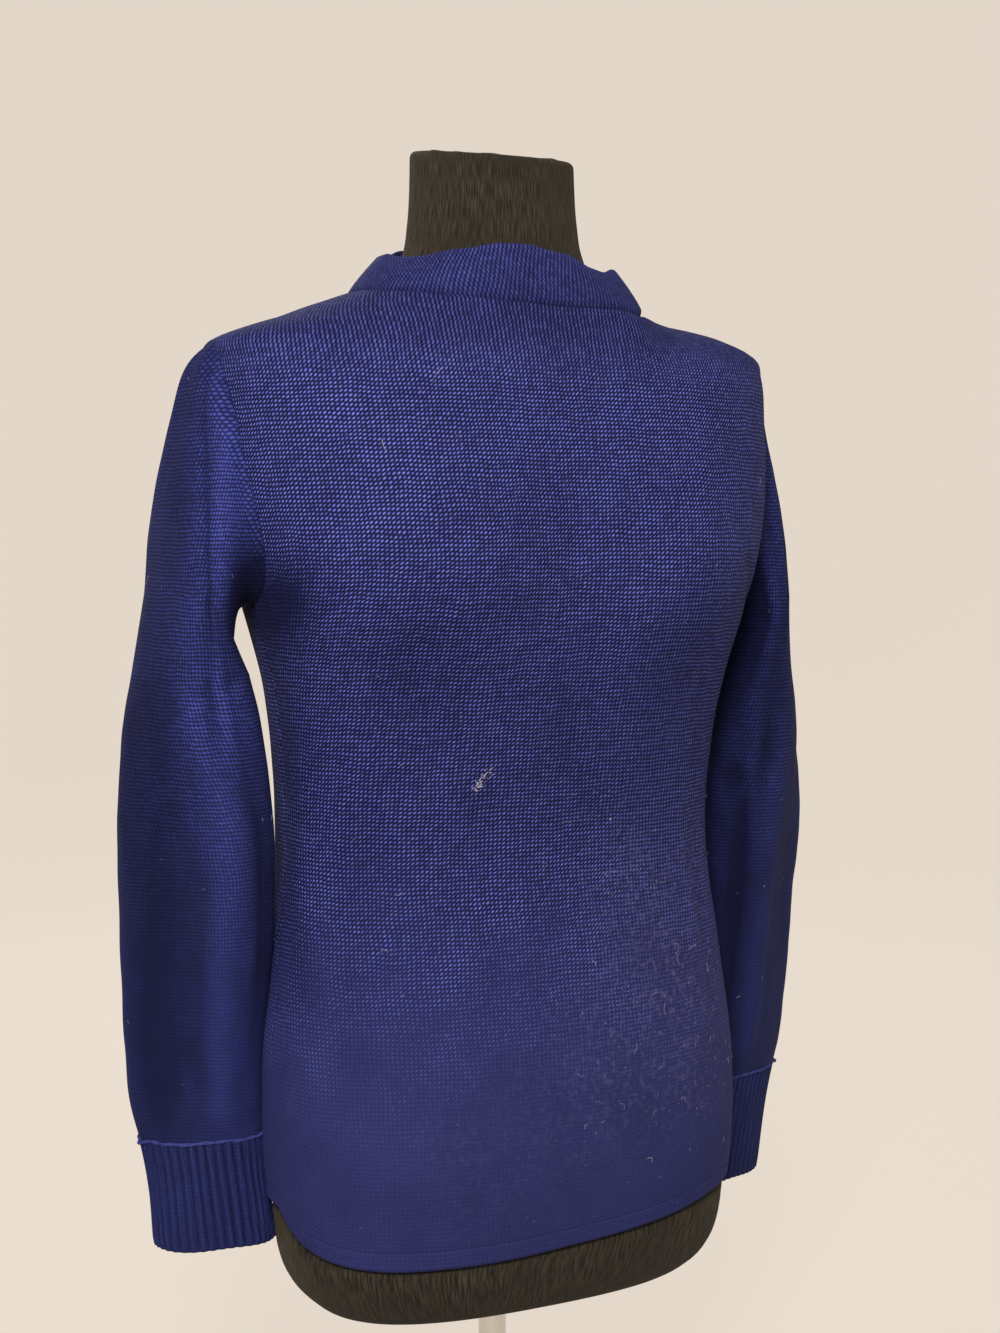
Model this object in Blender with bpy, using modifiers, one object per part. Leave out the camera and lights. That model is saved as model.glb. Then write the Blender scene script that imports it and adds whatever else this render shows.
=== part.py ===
"""A fine-knit sweater with a short funnel neck, worn by a counter dress form.

Metres, +Z up. The origin is the centre of the base plate's underside, the front faces -Y and the
wearer's left is +X. The cloth is lofted: every panel is an open surface worked out from the section
tables below, and a Solidify modifier gives it the thickness of the knit.
"""

import math

import bmesh
import bpy
import numpy as np

# ---------------------------------------------------------------- driving dimensions
KNIT = 0.0016              # single jersey of the body and sleeves
COLLAR_KNIT = 0.0026       # the collar is folded double
CUFF_KNIT = 0.0024         # ribbed knit
SEAM_GAP = 0.0003          # between two pieces at a seam

HEM_Z = 0.240
FRONT_HEM_DIP = 0.011      # the front hangs lower than the side seams
BACK_HEM_DIP = 0.002
HEM_LEAN = 0.012           # the wearer's left side of the hem is higher than the middle
UNDERARM_Z = 0.632
SHOULDER_TIP_Z = 0.792
NECK_POINT_Z = 0.8230      # where the shoulder meets the collar
FRONT_NECK_DROP = 0.009
BACK_NECK_DROP = 0.0
NECK_LEAN = -0.003         # the wearer's left side of the neckline is lower than the middle
NECK_DROP_STARTS_Z = 0.775
HEM_DIP_ENDS_Z = 0.330

CUFF_TOP_Z = 0.289
CUFF_END_Z = {"right": 0.219, "left": 0.212}

FORM_CLEARANCE = 0.0020    # between the cloth and the form where the sweater rests on it
FORM_BOTTOM_Z = 0.178
NECK_CAP_RADIUS = 0.0510
NECK_TOP_Z = 0.914
NECK_TOP_TILT = 9.0        # degrees, the front of the neck's top is the lower
NECK_CAP_THICKNESS = 0.004
POLE_RADIUS = 0.0092
PLATE_RADIUS = 0.140
PLATE_THICKNESS = 0.008
CAP_BEVEL = 0.0015
PLATE_BEVEL = 0.002
FORM_SHOULDER_DROP = 0.003 # from the neck point down to the form's last ring under the cloth

# ---------------------------------------------------------------- grid sizes
PANEL_COLUMNS = 20
BODY_ROWS = 13             # from the hem to the underarm
ROW_CROWDING = 1.35        # more than 1 sets these rows closer together towards the underarm
ARMHOLE_STEPS = 12         # from the underarm to the shoulder tip, on front and back
SHOULDER_ROWS = 4          # from the shoulder tip to the neck point
SECTION_SAMPLES = 181
AROUND_SLEEVE = 2 * ARMHOLE_STEPS
AROUND_COLLAR = 2 * PANEL_COLUMNS
HEAD_RINGS = 6
SLEEVE_RINGS = 12
CUFF_RINGS = 4
COLLAR_RINGS = 4
FORM_RINGS = {"torso": 12, "armhole": 9, "shoulder": 5}
POLE_SIDES = 24
PLATE_SIDES = 48

# Level sections of the sweater's body. y is measured from the pole's axis, the front negative.
# boxy is the exponent of the section's superellipse: 2 is an ellipse, more is squarer.
BODY_COLUMNS = ("z", "half_width", "front_y", "back_y", "side_y", "boxy")
BODY = np.array([
    (0.225, 0.154, -0.106, 0.076, -0.015, 2.6),
    (0.280, 0.161, -0.112, 0.080, -0.017, 2.4),
    (0.330, 0.163, -0.112, 0.082, -0.017, 2.2),
    (0.400, 0.156, -0.103, 0.083, -0.012, 2.2),
    (0.480, 0.147, -0.093, 0.085, -0.004, 2.4),
    (0.530, 0.149, -0.098, 0.085, -0.005, 2.4),
    (0.580, 0.155, -0.106, 0.086, -0.006, 2.5),
    (0.632, 0.168, -0.113, 0.089, -0.005, 2.7),
    (0.660, 0.176, -0.114, 0.092, -0.003, 2.8),
    (0.700, 0.185, -0.111, 0.095, 0.000, 2.8),
    (0.750, 0.1895, -0.103, 0.092, 0.001, 2.7),
    (0.778, 0.191, -0.096, 0.086, 0.002, 2.6),
    (0.792, 0.189, -0.092, 0.082, 0.002, 2.4),
    (0.809, 0.144, -0.088, 0.075, 0.001, 2.2),
    (0.826, 0.098, -0.085, 0.064, -0.002, 2.0),
])

# The bust of the form, a smooth swell on each side of the front.
BUST_X = 0.090
BUST_Z = 0.652
BUST_SWELL = 0.018
BUST_HALF_WIDTH = 0.062
BUST_ABOVE = 0.080
BUST_BELOW = 0.055

# The armhole seam, measured along the cloth from the side line.
ARMHOLE_FRONT_DEPTH = 0.038
ARMHOLE_BACK_DEPTH = 0.036
ARMHOLE_LOW_BIAS = 0.40

# The head of the sleeve fans out from the armhole in rings. Each is given by its highest, outer
# point, its lowest, inner point, and its half width from front to back.
HEAD_BOXY = 2.2            # as for the body's sections
HEAD_COLUMNS = ("ring", "outer_x", "outer_z", "inner_x", "inner_z", "middle_y", "half_width")
HEAD = np.array([
    (0.0, 0.189, 0.792, 0.168, 0.632, 0.002, 0.034),
    (0.2, 0.2005, 0.778, 0.171, 0.630, 0.009, 0.042),
    (0.4, 0.207, 0.750, 0.175, 0.627, 0.014, 0.049),
    (0.6, 0.214, 0.715, 0.179, 0.622, 0.017, 0.054),
    (0.8, 0.219, 0.678, 0.182, 0.614, 0.018, 0.057),
    (1.0, 0.222, 0.640, 0.184, 0.604, 0.018, 0.058),
])

# Level rings of the sleeves below the head. x is outward from the middle plane on either side.
# thin and broad are the half axes of the flattened tube and turn, in degrees, is how far its front
# edge has swung in towards the body.
SLEEVE_COLUMNS = ("z", "right_x", "right_y", "left_x", "left_y", "thin", "broad", "turn", "boxy")
SLEEVE = np.array([
    (0.212, 0.185, 0.030, 0.200, 0.026, 0.014, 0.0360, 66, 2.2),
    (0.289, 0.194, 0.031, 0.208, 0.018, 0.015, 0.0370, 66, 2.2),
    (0.306, 0.196, 0.031, 0.209, 0.017, 0.018, 0.0395, 66, 2.2),
    (0.350, 0.199, 0.028, 0.210, 0.015, 0.022, 0.0415, 66, 2.2),
    (0.410, 0.200, 0.020, 0.210, 0.012, 0.026, 0.0455, 62, 2.2),
    (0.483, 0.204, 0.006, 0.208, 0.006, 0.034, 0.0475, 50, 2.2),
    (0.550, 0.205, 0.008, 0.205, 0.008, 0.034, 0.0490, 20, 2.2),
    (0.600, 0.203, 0.016, 0.203, 0.016, 0.025, 0.0550, 4, 2.3),
    (0.633, 0.203, 0.018, 0.203, 0.018, 0.019, 0.0580, 0, 2.4),
])

# The sleeves' largest folds, each a soft trough with its middle at z and at a turn round the ring,
# in degrees from the outer side over the front. height and width are its reach; depth is negative
# on a ridge.
FOLD_COLUMNS = ("z", "turn", "height", "width", "depth")
FOLDS = np.array([
    (0.470, -24, 0.080, 24, 0.0050),
    (0.450, 30, 0.090, 18, -0.0025),
    (0.560, 52, 0.024, 15, 0.0040),
    (0.530, 205, 0.030, 22, 0.0035),
])
SLEEVE_RINGS_START_Z = 0.588

# The collar's rim, and its height at four places round the neck.
RIM_HALF_WIDTH = 0.0795
RIM_FRONT_Y = -0.081
RIM_BACK_Y = 0.0635
RIM_RIGHT_Z = 0.848
RIM_FRONT_Z = 0.848
RIM_LEFT_Z = 0.832
RIM_BACK_Z = 0.857
COLLAR_START = 0.02        # share of the way from the neckline to the rim at which it begins

# The form's underside rounds off: how far its section is drawn in at each height above the bottom.
UNDERSIDE_COLUMNS = ("height", "inset")
UNDERSIDE = np.array([
    (0.000, 0.042),
    (0.004, 0.028),
    (0.012, 0.016),
    (0.024, 0.007),
    (0.038, 0.002),
    (0.050, 0.000),
])

# The form is a little slimmer than the cloth at the waist, where the sweater spans it.
EASE_COLUMNS = ("z", "ease")
EASE = np.array([
    (0.20, 0.002),
    (0.30, 0.003),
    (0.40, 0.007),
    (0.50, 0.009),
    (0.60, 0.004),
    (0.67, 0.000),
    (0.76, 0.000),
    (0.79, 0.0015),
    (0.84, 0.0015),
])

# The neck of the form, above the shoulders.
NECK_COLUMNS = ("z", "half_width", "front_y", "back_y")
NECK = np.array([
    (0.830, 0.079, -0.072, 0.060),
    (0.841, 0.066, -0.062, 0.0575),
    (0.854, 0.0590, -0.0580, 0.0570),
    (0.875, 0.0550, -0.0555, 0.0560),
    (0.900, 0.0535, -0.0535, 0.0540),
    (0.914, 0.0530, -0.0530, 0.0530),
])


def smooth_value(table, names, name, at):
    """A smooth value of one column of a table, between its rows."""
    xs = table[:, 0]
    ys = table[:, names.index(name)]
    slopes = np.gradient(ys, xs)
    at = np.clip(at, xs[0], xs[-1])
    i = np.clip(np.searchsorted(xs, at) - 1, 0, len(xs) - 2)
    span = xs[i + 1] - xs[i]
    t = (at - xs[i]) / span
    rise = ys[i] * (1 + 2 * t) * (1 - t) ** 2 + ys[i + 1] * t**2 * (3 - 2 * t)
    lean = slopes[i] * t * (1 - t) ** 2 + slopes[i + 1] * t**2 * (t - 1)
    return float(rise + span * lean)


def row_at(table, names, at):
    """All the columns of a table at one place, by name."""
    return {name: smooth_value(table, names, name, at) for name in names[1:]}


# ---------------------------------------------------------------- the body's surface
def bust_swell(x, z):
    """How far the bust lifts the front at x and z."""
    reach = BUST_ABOVE if z > BUST_Z else BUST_BELOW
    rise = math.exp(-(((z - BUST_Z) / reach) ** 2))
    across = np.exp(-(((np.abs(x) - BUST_X) / BUST_HALF_WIDTH) ** 2))
    return BUST_SWELL * rise * across


def half_section(z, back, inset=0.0):
    """The front or back half of the body's section at z, from the wearer's right to the left."""
    row = row_at(BODY, BODY_COLUMNS, z)
    angle = np.linspace(-math.pi / 2, math.pi / 2, SECTION_SAMPLES)
    width = row["half_width"] - inset
    side = row["side_y"]
    deep = (row["back_y"] - side if back else side - row["front_y"]) - inset
    across = np.abs(np.sin(angle) / width) ** row["boxy"]
    along = np.abs(np.cos(angle) / deep) ** row["boxy"]
    radius = (across + along) ** (-1 / row["boxy"])
    x = radius * np.sin(angle)
    away = radius * np.cos(angle)
    if back:
        return np.column_stack([x, side + away])
    return np.column_stack([x, side - away - bust_swell(x, z) * away / deep])


def body_point(z, back, share, cut=0.0, inset=0.0):
    """The point at z, a share of the way round the half section whose two ends are cut off."""
    line = half_section(z, back, inset)
    run = np.concatenate([[0], np.cumsum(np.linalg.norm(np.diff(line, axis=0), axis=1))])
    at = cut + share * (run[-1] - 2 * cut)
    return np.array([np.interp(at, run, line[:, 0]), np.interp(at, run, line[:, 1]), z])


def armhole_z(turn):
    """Height on the armhole: turn is 0 at the shoulder tip and pi at the underarm."""
    middle = (SHOULDER_TIP_Z + UNDERARM_Z) / 2
    return middle + (SHOULDER_TIP_Z - UNDERARM_Z) / 2 * math.cos(turn)


def armhole_cut(turn, back):
    """How far the armhole has come in from the side line, along the cloth."""
    depth = ARMHOLE_BACK_DEPTH if back else ARMHOLE_FRONT_DEPTH
    return depth * math.sin(turn) * (1 - ARMHOLE_LOW_BIAS * math.cos(turn))


def body_normal(z, back, share, cut, step=0.002):
    """The outward direction of the body's surface, from the points a step away."""
    along = body_point(z, back, share, cut + step) - body_point(z, back, share, cut)
    up = body_point(z + step, back, share, cut) - body_point(z - step, back, share, cut)
    normal = np.cross(along, up)
    return normal / np.linalg.norm(normal) * (-1 if back else 1)


def edge_drop(z, back, share):
    """How far a point of a row is below the row's height, near the neck and near the hem."""
    neck = BACK_NECK_DROP if back else FRONT_NECK_DROP
    hem = BACK_HEM_DIP if back else FRONT_HEM_DIP
    near_neck = max(0.0, (z - NECK_DROP_STARTS_Z) / (NECK_POINT_Z - NECK_DROP_STARTS_Z))
    near_hem = max(0.0, (HEM_DIP_ENDS_Z - z) / (HEM_DIP_ENDS_Z - HEM_Z))
    to_left = -math.cos(math.pi * share)
    dip = (neck * near_neck**2 + hem * near_hem) * math.sin(math.pi * share) ** 2
    return dip - (NECK_LEAN * near_neck**2 + HEM_LEAN * near_hem) * to_left


def armhole_point(turn, side):
    """Where a sleeve starts, drawn on the wearer's right.

    turn runs from the shoulder tip down the front and up the back. The sleeve's edge stands on the
    edge of the body panel, a seam gap above it.
    """
    back = turn > math.pi
    half_turn = 2 * math.pi - turn if back else turn
    cut = armhole_cut(half_turn, back)
    z = armhole_z(half_turn)
    z -= edge_drop(z, back, 1.0 if side == "left" else 0.0)
    return body_point(z, back, 0.0, cut) + (KNIT + SEAM_GAP) * body_normal(z, back, 0.0, cut)


# ---------------------------------------------------------------- making objects
def make_material(name, colour, roughness, metallic=0.0):
    material = bpy.data.materials.new(name)
    material.use_nodes = True
    shader = material.node_tree.nodes["Principled BSDF"]
    shader.inputs["Base Color"].default_value = (*colour, 1)
    shader.inputs["Roughness"].default_value = roughness
    shader.inputs["Metallic"].default_value = metallic
    return material


def add_object(name, mesh, material, collection):
    mesh.materials.append(material)
    obj = bpy.data.objects.new(name, mesh)
    collection.objects.link(obj)
    return obj


def loft(name, rows, closed, capped=False):
    """A mesh of quads through rows of points. closed joins each row's last point to its first."""
    made = bmesh.new()
    grid = [[made.verts.new(point) for point in row] for row in rows]
    edges = []
    for row in grid:
        pairs = list(zip(row, row[1:] + row[:1])) if closed else list(zip(row, row[1:]))
        edges.append([made.edges.new(pair) for pair in pairs])
    for low, high in zip(edges, edges[1:]):
        bridge_rows(made, low, high)
    if capped:
        bmesh.ops.edgeloop_fill(made, edges=edges[0] + edges[-1])
    bmesh.ops.recalc_face_normals(made, faces=made.faces)
    mesh = bpy.data.meshes.new(name)
    made.to_mesh(mesh)
    made.free()
    mesh.shade_smooth()
    return mesh


def bridge_rows(made, low, high):
    """Joins two rows of edges with quads, edge for edge."""
    for a, b in zip(low, high):
        made.faces.new((a.verts[0], a.verts[1], b.verts[1], b.verts[0]))


def thicken(obj, thickness):
    """Gives an open surface its wall, half of it on each side."""
    wall = obj.modifiers.new("wall", "SOLIDIFY")
    wall.thickness = thickness
    wall.offset = 0
    wall.use_even_offset = True


# ---------------------------------------------------------------- front and back
def panel_rows(back):
    """Height and armhole cut of each row of a body panel, from the hem to the neck."""
    shares = 1 - (1 - np.linspace(0, 1, BODY_ROWS + 1)[:-1]) ** ROW_CROWDING
    rows = [(HEM_Z + (UNDERARM_Z - HEM_Z) * share, 0.0) for share in shares]
    for step in range(ARMHOLE_STEPS + 1):
        turn = math.pi * (1 - step / ARMHOLE_STEPS)
        rows.append((armhole_z(turn), armhole_cut(turn, back)))
    top = NECK_POINT_Z - SEAM_GAP / 2
    rows += [(z, 0.0) for z in np.linspace(SHOULDER_TIP_Z, top, SHOULDER_ROWS + 1)[1:]]
    return rows


def add_body_panel(name, back, material, collection):
    grid = []
    for z, cut in panel_rows(back):
        row = []
        for share in np.linspace(0, 1, PANEL_COLUMNS + 1):
            dipped = z - edge_drop(z, back, share)
            row.append(body_point(dipped, back, share, cut + SEAM_GAP / 2))
        grid.append(row)
    obj = add_object(name, loft(name, grid, closed=False), material, collection)
    thicken(obj, KNIT)


# ---------------------------------------------------------------- sleeves and cuffs
def superellipse(turn, boxy):
    """Cosine and sine on a superellipse with half axes of 1."""
    c, s = math.cos(turn), math.sin(turn)
    size = (abs(c) ** boxy + abs(s) ** boxy) ** (-1 / boxy)
    return c * size, s * size


def head_ring(share):
    """A ring of the sleeve's head; share is 0 at the armhole and 1 at the lowest ring."""
    row = row_at(HEAD, HEAD_COLUMNS, share)
    outer = np.array([-row["outer_x"], row["middle_y"], row["outer_z"]])
    inner = np.array([-row["inner_x"], row["middle_y"], row["inner_z"]])
    front = np.array([0, -row["half_width"], 0])
    ring = []
    for j in range(AROUND_SLEEVE):
        c, s = superellipse(2 * math.pi * j / AROUND_SLEEVE, HEAD_BOXY)
        ring.append((outer + inner) / 2 + (outer - inner) / 2 * c + front * s)
    return np.array(ring)


def fold_depth(z, turn):
    """How far the sleeve's folds draw its surface in, at a height and a turn in degrees."""
    depth = 0.0
    for row in FOLDS:
        fold = dict(zip(FOLD_COLUMNS, row))
        across = ((turn - fold["turn"] + 180) % 360 - 180) / fold["width"]
        along = (z - fold["z"]) / fold["height"]
        depth += fold["depth"] * math.exp(-(along**2) - across**2)
    return depth


def sleeve_ring(z, side):
    """A level ring of the sleeve, drawn on the wearer's right."""
    row = row_at(SLEEVE, SLEEVE_COLUMNS, z)
    angle = math.radians(row["turn"])
    outward = np.array([-math.cos(angle), -math.sin(angle), 0])
    forward = np.array([math.sin(angle), -math.cos(angle), 0])
    middle = np.array([-row[side + "_x"], row[side + "_y"], z])
    ring = []
    for j in range(AROUND_SLEEVE):
        turn = 2 * math.pi * j / AROUND_SLEEVE
        c, s = superellipse(turn, row["boxy"])
        away = outward * math.cos(turn) + forward * math.sin(turn)
        flat = outward * c * row["thin"] + forward * s * row["broad"]
        ring.append(middle + flat - away * fold_depth(z, math.degrees(turn)))
    return np.array(ring)


def sleeve_rings(side):
    """All rings of a sleeve, from the armhole to the cuff, drawn on the wearer's right."""
    turns = [2 * math.pi * j / AROUND_SLEEVE for j in range(AROUND_SLEEVE)]
    armhole = np.array([armhole_point(turn, side) for turn in turns])
    error = armhole - head_ring(0)
    rings = []
    for share in np.linspace(0, 1, HEAD_RINGS + 1):
        rings.append(head_ring(share) + error * (1 - share) ** 2)
    for z in np.linspace(SLEEVE_RINGS_START_Z, CUFF_TOP_Z + SEAM_GAP / 2, SLEEVE_RINGS):
        rings.append(sleeve_ring(z, side))
    return rings


def cuff_rings(side):
    heights = np.linspace(CUFF_TOP_Z - SEAM_GAP / 2, CUFF_END_Z[side], CUFF_RINGS + 1)
    return [sleeve_ring(z, side) for z in heights]


def add_tube(name, rings, side, thickness, material, collection):
    """A tube of cloth. The left sleeve's rings are mirrored across the middle plane."""
    flip = np.array([-1 if side == "left" else 1, 1, 1])
    mesh = loft(name, [ring * flip for ring in rings], closed=True)
    thicken(add_object(name, mesh, material, collection), thickness)


# ---------------------------------------------------------------- collar
def neckline():
    """The neckline, from the wearer's right over the front to the left and round the back."""
    ring = []
    for j in range(AROUND_COLLAR):
        share = j / PANEL_COLUMNS
        back = share > 1
        share = 2 - share if back else share
        z = NECK_POINT_Z - edge_drop(NECK_POINT_Z, back, share)
        ring.append(body_point(z, back, share))
    return ring


def rim_point(turn):
    """A point of the rim: its height runs smoothly through the four given heights."""
    deep = -RIM_FRONT_Y if math.sin(turn) > 0 else RIM_BACK_Y
    sides = (RIM_RIGHT_Z + RIM_LEFT_Z) / 2
    ends = (RIM_FRONT_Z + RIM_BACK_Z) / 2
    z = (sides + ends) / 2 + (sides - ends) / 2 * math.cos(2 * turn)
    z += (RIM_RIGHT_Z - RIM_LEFT_Z) / 2 * math.cos(turn)
    z += (RIM_FRONT_Z - RIM_BACK_Z) / 2 * math.sin(turn)
    return np.array([-RIM_HALF_WIDTH * math.cos(turn), -deep * math.sin(turn), z])


def add_collar(material, collection):
    rings = []
    for step in range(COLLAR_RINGS + 1):
        rise = COLLAR_START + (1 - COLLAR_START) * step / COLLAR_RINGS
        ring = []
        for j, base in enumerate(neckline()):
            rim = rim_point(2 * math.pi * j / AROUND_COLLAR)
            ring.append(base + (rim - base) * rise)
        rings.append(ring)
    mesh = loft("collar", rings, closed=True)
    thicken(add_object("collar", mesh, material, collection), COLLAR_KNIT)


# ---------------------------------------------------------------- dress form and stand
def form_ring(z, inset):
    """A ring of the form inside the cloth; below the hem it keeps the hem's section."""
    level = max(z, HEM_Z - FRONT_HEM_DIP)
    shares = np.linspace(0, 1, PANEL_COLUMNS + 1)[:-1]
    front = [body_point(level, False, share, 0, inset) for share in shares]
    rear = [body_point(level, True, 1 - share, 0, inset) for share in shares]
    ring = np.array(front + rear)
    ring[:, 2] = z
    return ring


def neck_ring(z, lift):
    """A ring of the form's neck; lift is how much each metre towards the back raises it."""
    row = row_at(NECK, NECK_COLUMNS, z)
    ring = []
    for j in range(AROUND_COLLAR):
        turn = 2 * math.pi * j / AROUND_COLLAR
        deep = -row["front_y"] if math.sin(turn) > 0 else row["back_y"]
        y = -deep * math.sin(turn)
        ring.append((-row["half_width"] * math.cos(turn), y, z + lift * y))
    return np.array(ring)


def form_rings():
    """Rings of the form, from its underside to the top of its neck."""
    cloth = KNIT / 2 + FORM_CLEARANCE
    rings = []
    for row in UNDERSIDE:
        step = dict(zip(UNDERSIDE_COLUMNS, row))
        z = FORM_BOTTOM_Z + step["height"]
        ease = smooth_value(EASE, EASE_COLUMNS, "ease", z)
        rings.append(form_ring(z, step["inset"] + cloth + ease))
    torso = np.linspace(FORM_BOTTOM_Z + UNDERSIDE[-1, 0], UNDERARM_Z, FORM_RINGS["torso"])[1:]
    armhole = np.linspace(UNDERARM_Z, SHOULDER_TIP_Z, FORM_RINGS["armhole"])[1:]
    top = NECK_POINT_Z - FORM_SHOULDER_DROP
    shoulder = np.linspace(SHOULDER_TIP_Z, top, FORM_RINGS["shoulder"])[1:]
    for z in np.concatenate([torso, armhole, shoulder]):
        rings.append(form_ring(z, cloth + smooth_value(EASE, EASE_COLUMNS, "ease", z)))
    tilt = math.tan(math.radians(NECK_TOP_TILT))
    for z in NECK[:, 0]:
        rings.append(neck_ring(z, tilt if z == NECK[-1, 0] else 0.0))
    return rings


def add_form(material, collection):
    add_object("form", loft("form", form_rings(), closed=True, capped=True), material, collection)


def add_turned(name, radius, low, high, bevel, sides, material, collection):
    """A round solid on the pole's axis with a small bevel on its edges."""
    made = bmesh.new()
    bmesh.ops.create_cone(
        made, cap_ends=True, segments=sides, radius1=radius, radius2=radius, depth=high - low
    )
    mesh = bpy.data.meshes.new(name)
    made.to_mesh(mesh)
    made.free()
    obj = add_object(name, mesh, material, collection)
    obj.location = (0, 0, (low + high) / 2)
    if bevel:
        edge = obj.modifiers.new("rounded edge", "BEVEL")
        edge.width = bevel
        edge.segments = 2
        edge.limit_method = "ANGLE"
    return obj


def main():
    for obj in list(bpy.data.objects):
        bpy.data.objects.remove(obj)
    collection = bpy.data.collections.new("funnel_neck_sweater_on_form")
    bpy.context.scene.collection.children.link(collection)
    jersey = make_material("navy_jersey", (0.032, 0.034, 0.130), 0.9)
    rib = make_material("navy_rib", (0.020, 0.022, 0.085), 0.9)
    cover = make_material("black_form_cover", (0.020, 0.018, 0.015), 0.85)
    steel = make_material("polished_steel", (0.62, 0.61, 0.58), 0.15, 1.0)
    add_body_panel("front", False, jersey, collection)
    add_body_panel("back", True, jersey, collection)
    for side in ("right", "left"):
        add_tube("sleeve_" + side, sleeve_rings(side), side, KNIT, jersey, collection)
        add_tube("cuff_" + side, cuff_rings(side), side, CUFF_KNIT, rib, collection)
    add_collar(jersey, collection)
    add_form(cover, collection)
    low = NECK_TOP_Z + 2 * SEAM_GAP
    high = low + NECK_CAP_THICKNESS
    sides = AROUND_COLLAR
    cap = add_turned("neck_cap", NECK_CAP_RADIUS, low, high, CAP_BEVEL, sides, cover, collection)
    cap.rotation_euler = (math.radians(NECK_TOP_TILT), 0, 0)
    low = PLATE_THICKNESS + SEAM_GAP
    high = FORM_BOTTOM_Z - SEAM_GAP
    add_turned("pole", POLE_RADIUS, low, high, 0, POLE_SIDES, steel, collection)
    high = PLATE_THICKNESS
    add_turned("base_plate", PLATE_RADIUS, 0, high, PLATE_BEVEL, PLATE_SIDES, steel, collection)


main()
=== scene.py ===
"""The looks of a fine navy sweater with a short stand-up collar, worn by a black dress form.

Metres, +Z up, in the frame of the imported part: the front faces -Y and the wearer's left is +X.
The sections follow the object as it is put together: the stand, the dress form, the front and
back of the sweater, its sleeves, cuffs and collar, and the lint on the cloth. The studio comes
last.
"""

import math
import random

import bmesh
import bpy
import numpy as np
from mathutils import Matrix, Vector


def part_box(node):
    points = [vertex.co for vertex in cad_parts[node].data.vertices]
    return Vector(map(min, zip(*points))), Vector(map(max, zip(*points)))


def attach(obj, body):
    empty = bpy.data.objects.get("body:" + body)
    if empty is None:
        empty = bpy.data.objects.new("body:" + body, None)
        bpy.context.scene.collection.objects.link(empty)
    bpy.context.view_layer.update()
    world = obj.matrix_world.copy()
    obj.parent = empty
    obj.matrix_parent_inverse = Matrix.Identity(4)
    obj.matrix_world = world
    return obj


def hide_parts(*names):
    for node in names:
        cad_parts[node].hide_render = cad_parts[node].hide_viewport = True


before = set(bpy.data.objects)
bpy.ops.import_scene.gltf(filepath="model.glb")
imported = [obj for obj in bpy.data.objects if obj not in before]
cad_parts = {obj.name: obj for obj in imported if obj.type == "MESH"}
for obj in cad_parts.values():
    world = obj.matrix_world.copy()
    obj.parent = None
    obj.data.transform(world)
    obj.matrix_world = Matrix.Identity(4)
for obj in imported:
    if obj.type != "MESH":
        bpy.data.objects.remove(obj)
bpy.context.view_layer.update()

# ================================================================ the stand
# A round steel plate with a steel tube on its middle, both turned or drawn, ground and polished.
# The tube is pushed into the underside of the dress form. Plate and tube are lathe shapes here.
PLATE_EDGE_RADIUS = 0.0025
POLE_RIM_BEVEL = 0.0006
PLATE_STEPS = 192
POLE_STEPS = 48
CORNER_STEPS = 6


def linear(hex_colour):
    """The linear colour of an sRGB hex value such as "2b2f6b", with full opacity."""
    shares = [int(hex_colour[i : i + 2], 16) / 255 for i in (0, 2, 4)]
    return [s / 12.92 if s <= 0.04045 else ((s + 0.055) / 1.055) ** 2.4 for s in shares] + [1]


def add_node(tree, kind, inputs, **settings):
    """Adds a shader node. Each input is given its value or the socket that it is linked from."""
    made = tree.nodes.new("ShaderNode" + kind)
    for name, value in settings.items():
        setattr(made, name, value)
    for name, value in inputs.items():
        if isinstance(value, bpy.types.NodeSocket):
            tree.links.new(value, made.inputs[name])
        else:
            made.inputs[name].default_value = value
    return made.outputs


def noise(tree, place, scale, detail, output="Fac"):
    """A soft random value, or colour, that changes from place to place."""
    return add_node(tree, "TexNoise", {"Vector": place, "Scale": scale, "Detail": detail})[output]


def ramp(tree, value, low, high, to_low=0.0, to_high=1.0, kind="LINEAR"):
    """A value carried from one range to another, and held at its ends."""
    return add_node(
        tree, "MapRange",
        {"Value": value, "From Min": low, "From Max": high, "To Min": to_low, "To Max": to_high},
        interpolation_type=kind,
    )["Result"]


def bumped(tree, shader, height, strength, distance):
    """Makes a height stand out in the shader's surface."""
    bump = add_node(
        tree, "Bump", {"Height": height, "Strength": strength, "Distance": distance}
    )
    tree.links.new(bump["Normal"], shader.inputs["Normal"])


def new_material(name, **shader_values):
    """A material with the values of its shader's own sockets; returns it, its tree and shader."""
    material = bpy.data.materials.new(name)
    material.use_nodes = True
    shader = material.node_tree.nodes["Principled BSDF"]
    for socket, value in shader_values.items():
        shader.inputs[socket.replace("_", " ")].default_value = value
    return material, material.node_tree, shader


def new_object(name, shape, material):
    """An object of a finished bmesh, smooth shaded."""
    mesh = bpy.data.meshes.new(name)
    shape.to_mesh(mesh)
    shape.free()
    mesh.shade_smooth()
    mesh.materials.append(material)
    piece = bpy.data.objects.new(name, mesh)
    bpy.context.scene.collection.objects.link(piece)
    return piece


def add_piece(name, shape, material, replaces=()):
    """A piece of the part, on its one body."""
    piece = new_object(name, shape, material)
    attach(piece, "root")
    if replaces:
        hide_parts(*replaces)
    return piece


def spun(profile, steps):
    """A lathe shape: a profile of (radius, height) points, both ends on the axis."""
    shape = bmesh.new()
    points = [shape.verts.new((radius, 0, z)) for radius, z in profile]
    edges = [shape.edges.new(pair) for pair in zip(points, points[1:])]
    bmesh.ops.spin(
        shape, geom=points + edges, cent=(0, 0, 0), axis=(0, 0, 1), angle=2 * math.pi,
        steps=steps, use_merge=True,
    )
    bmesh.ops.remove_doubles(shape, verts=shape.verts, dist=1e-6)
    bmesh.ops.recalc_face_normals(shape, faces=shape.faces)
    return shape


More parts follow.
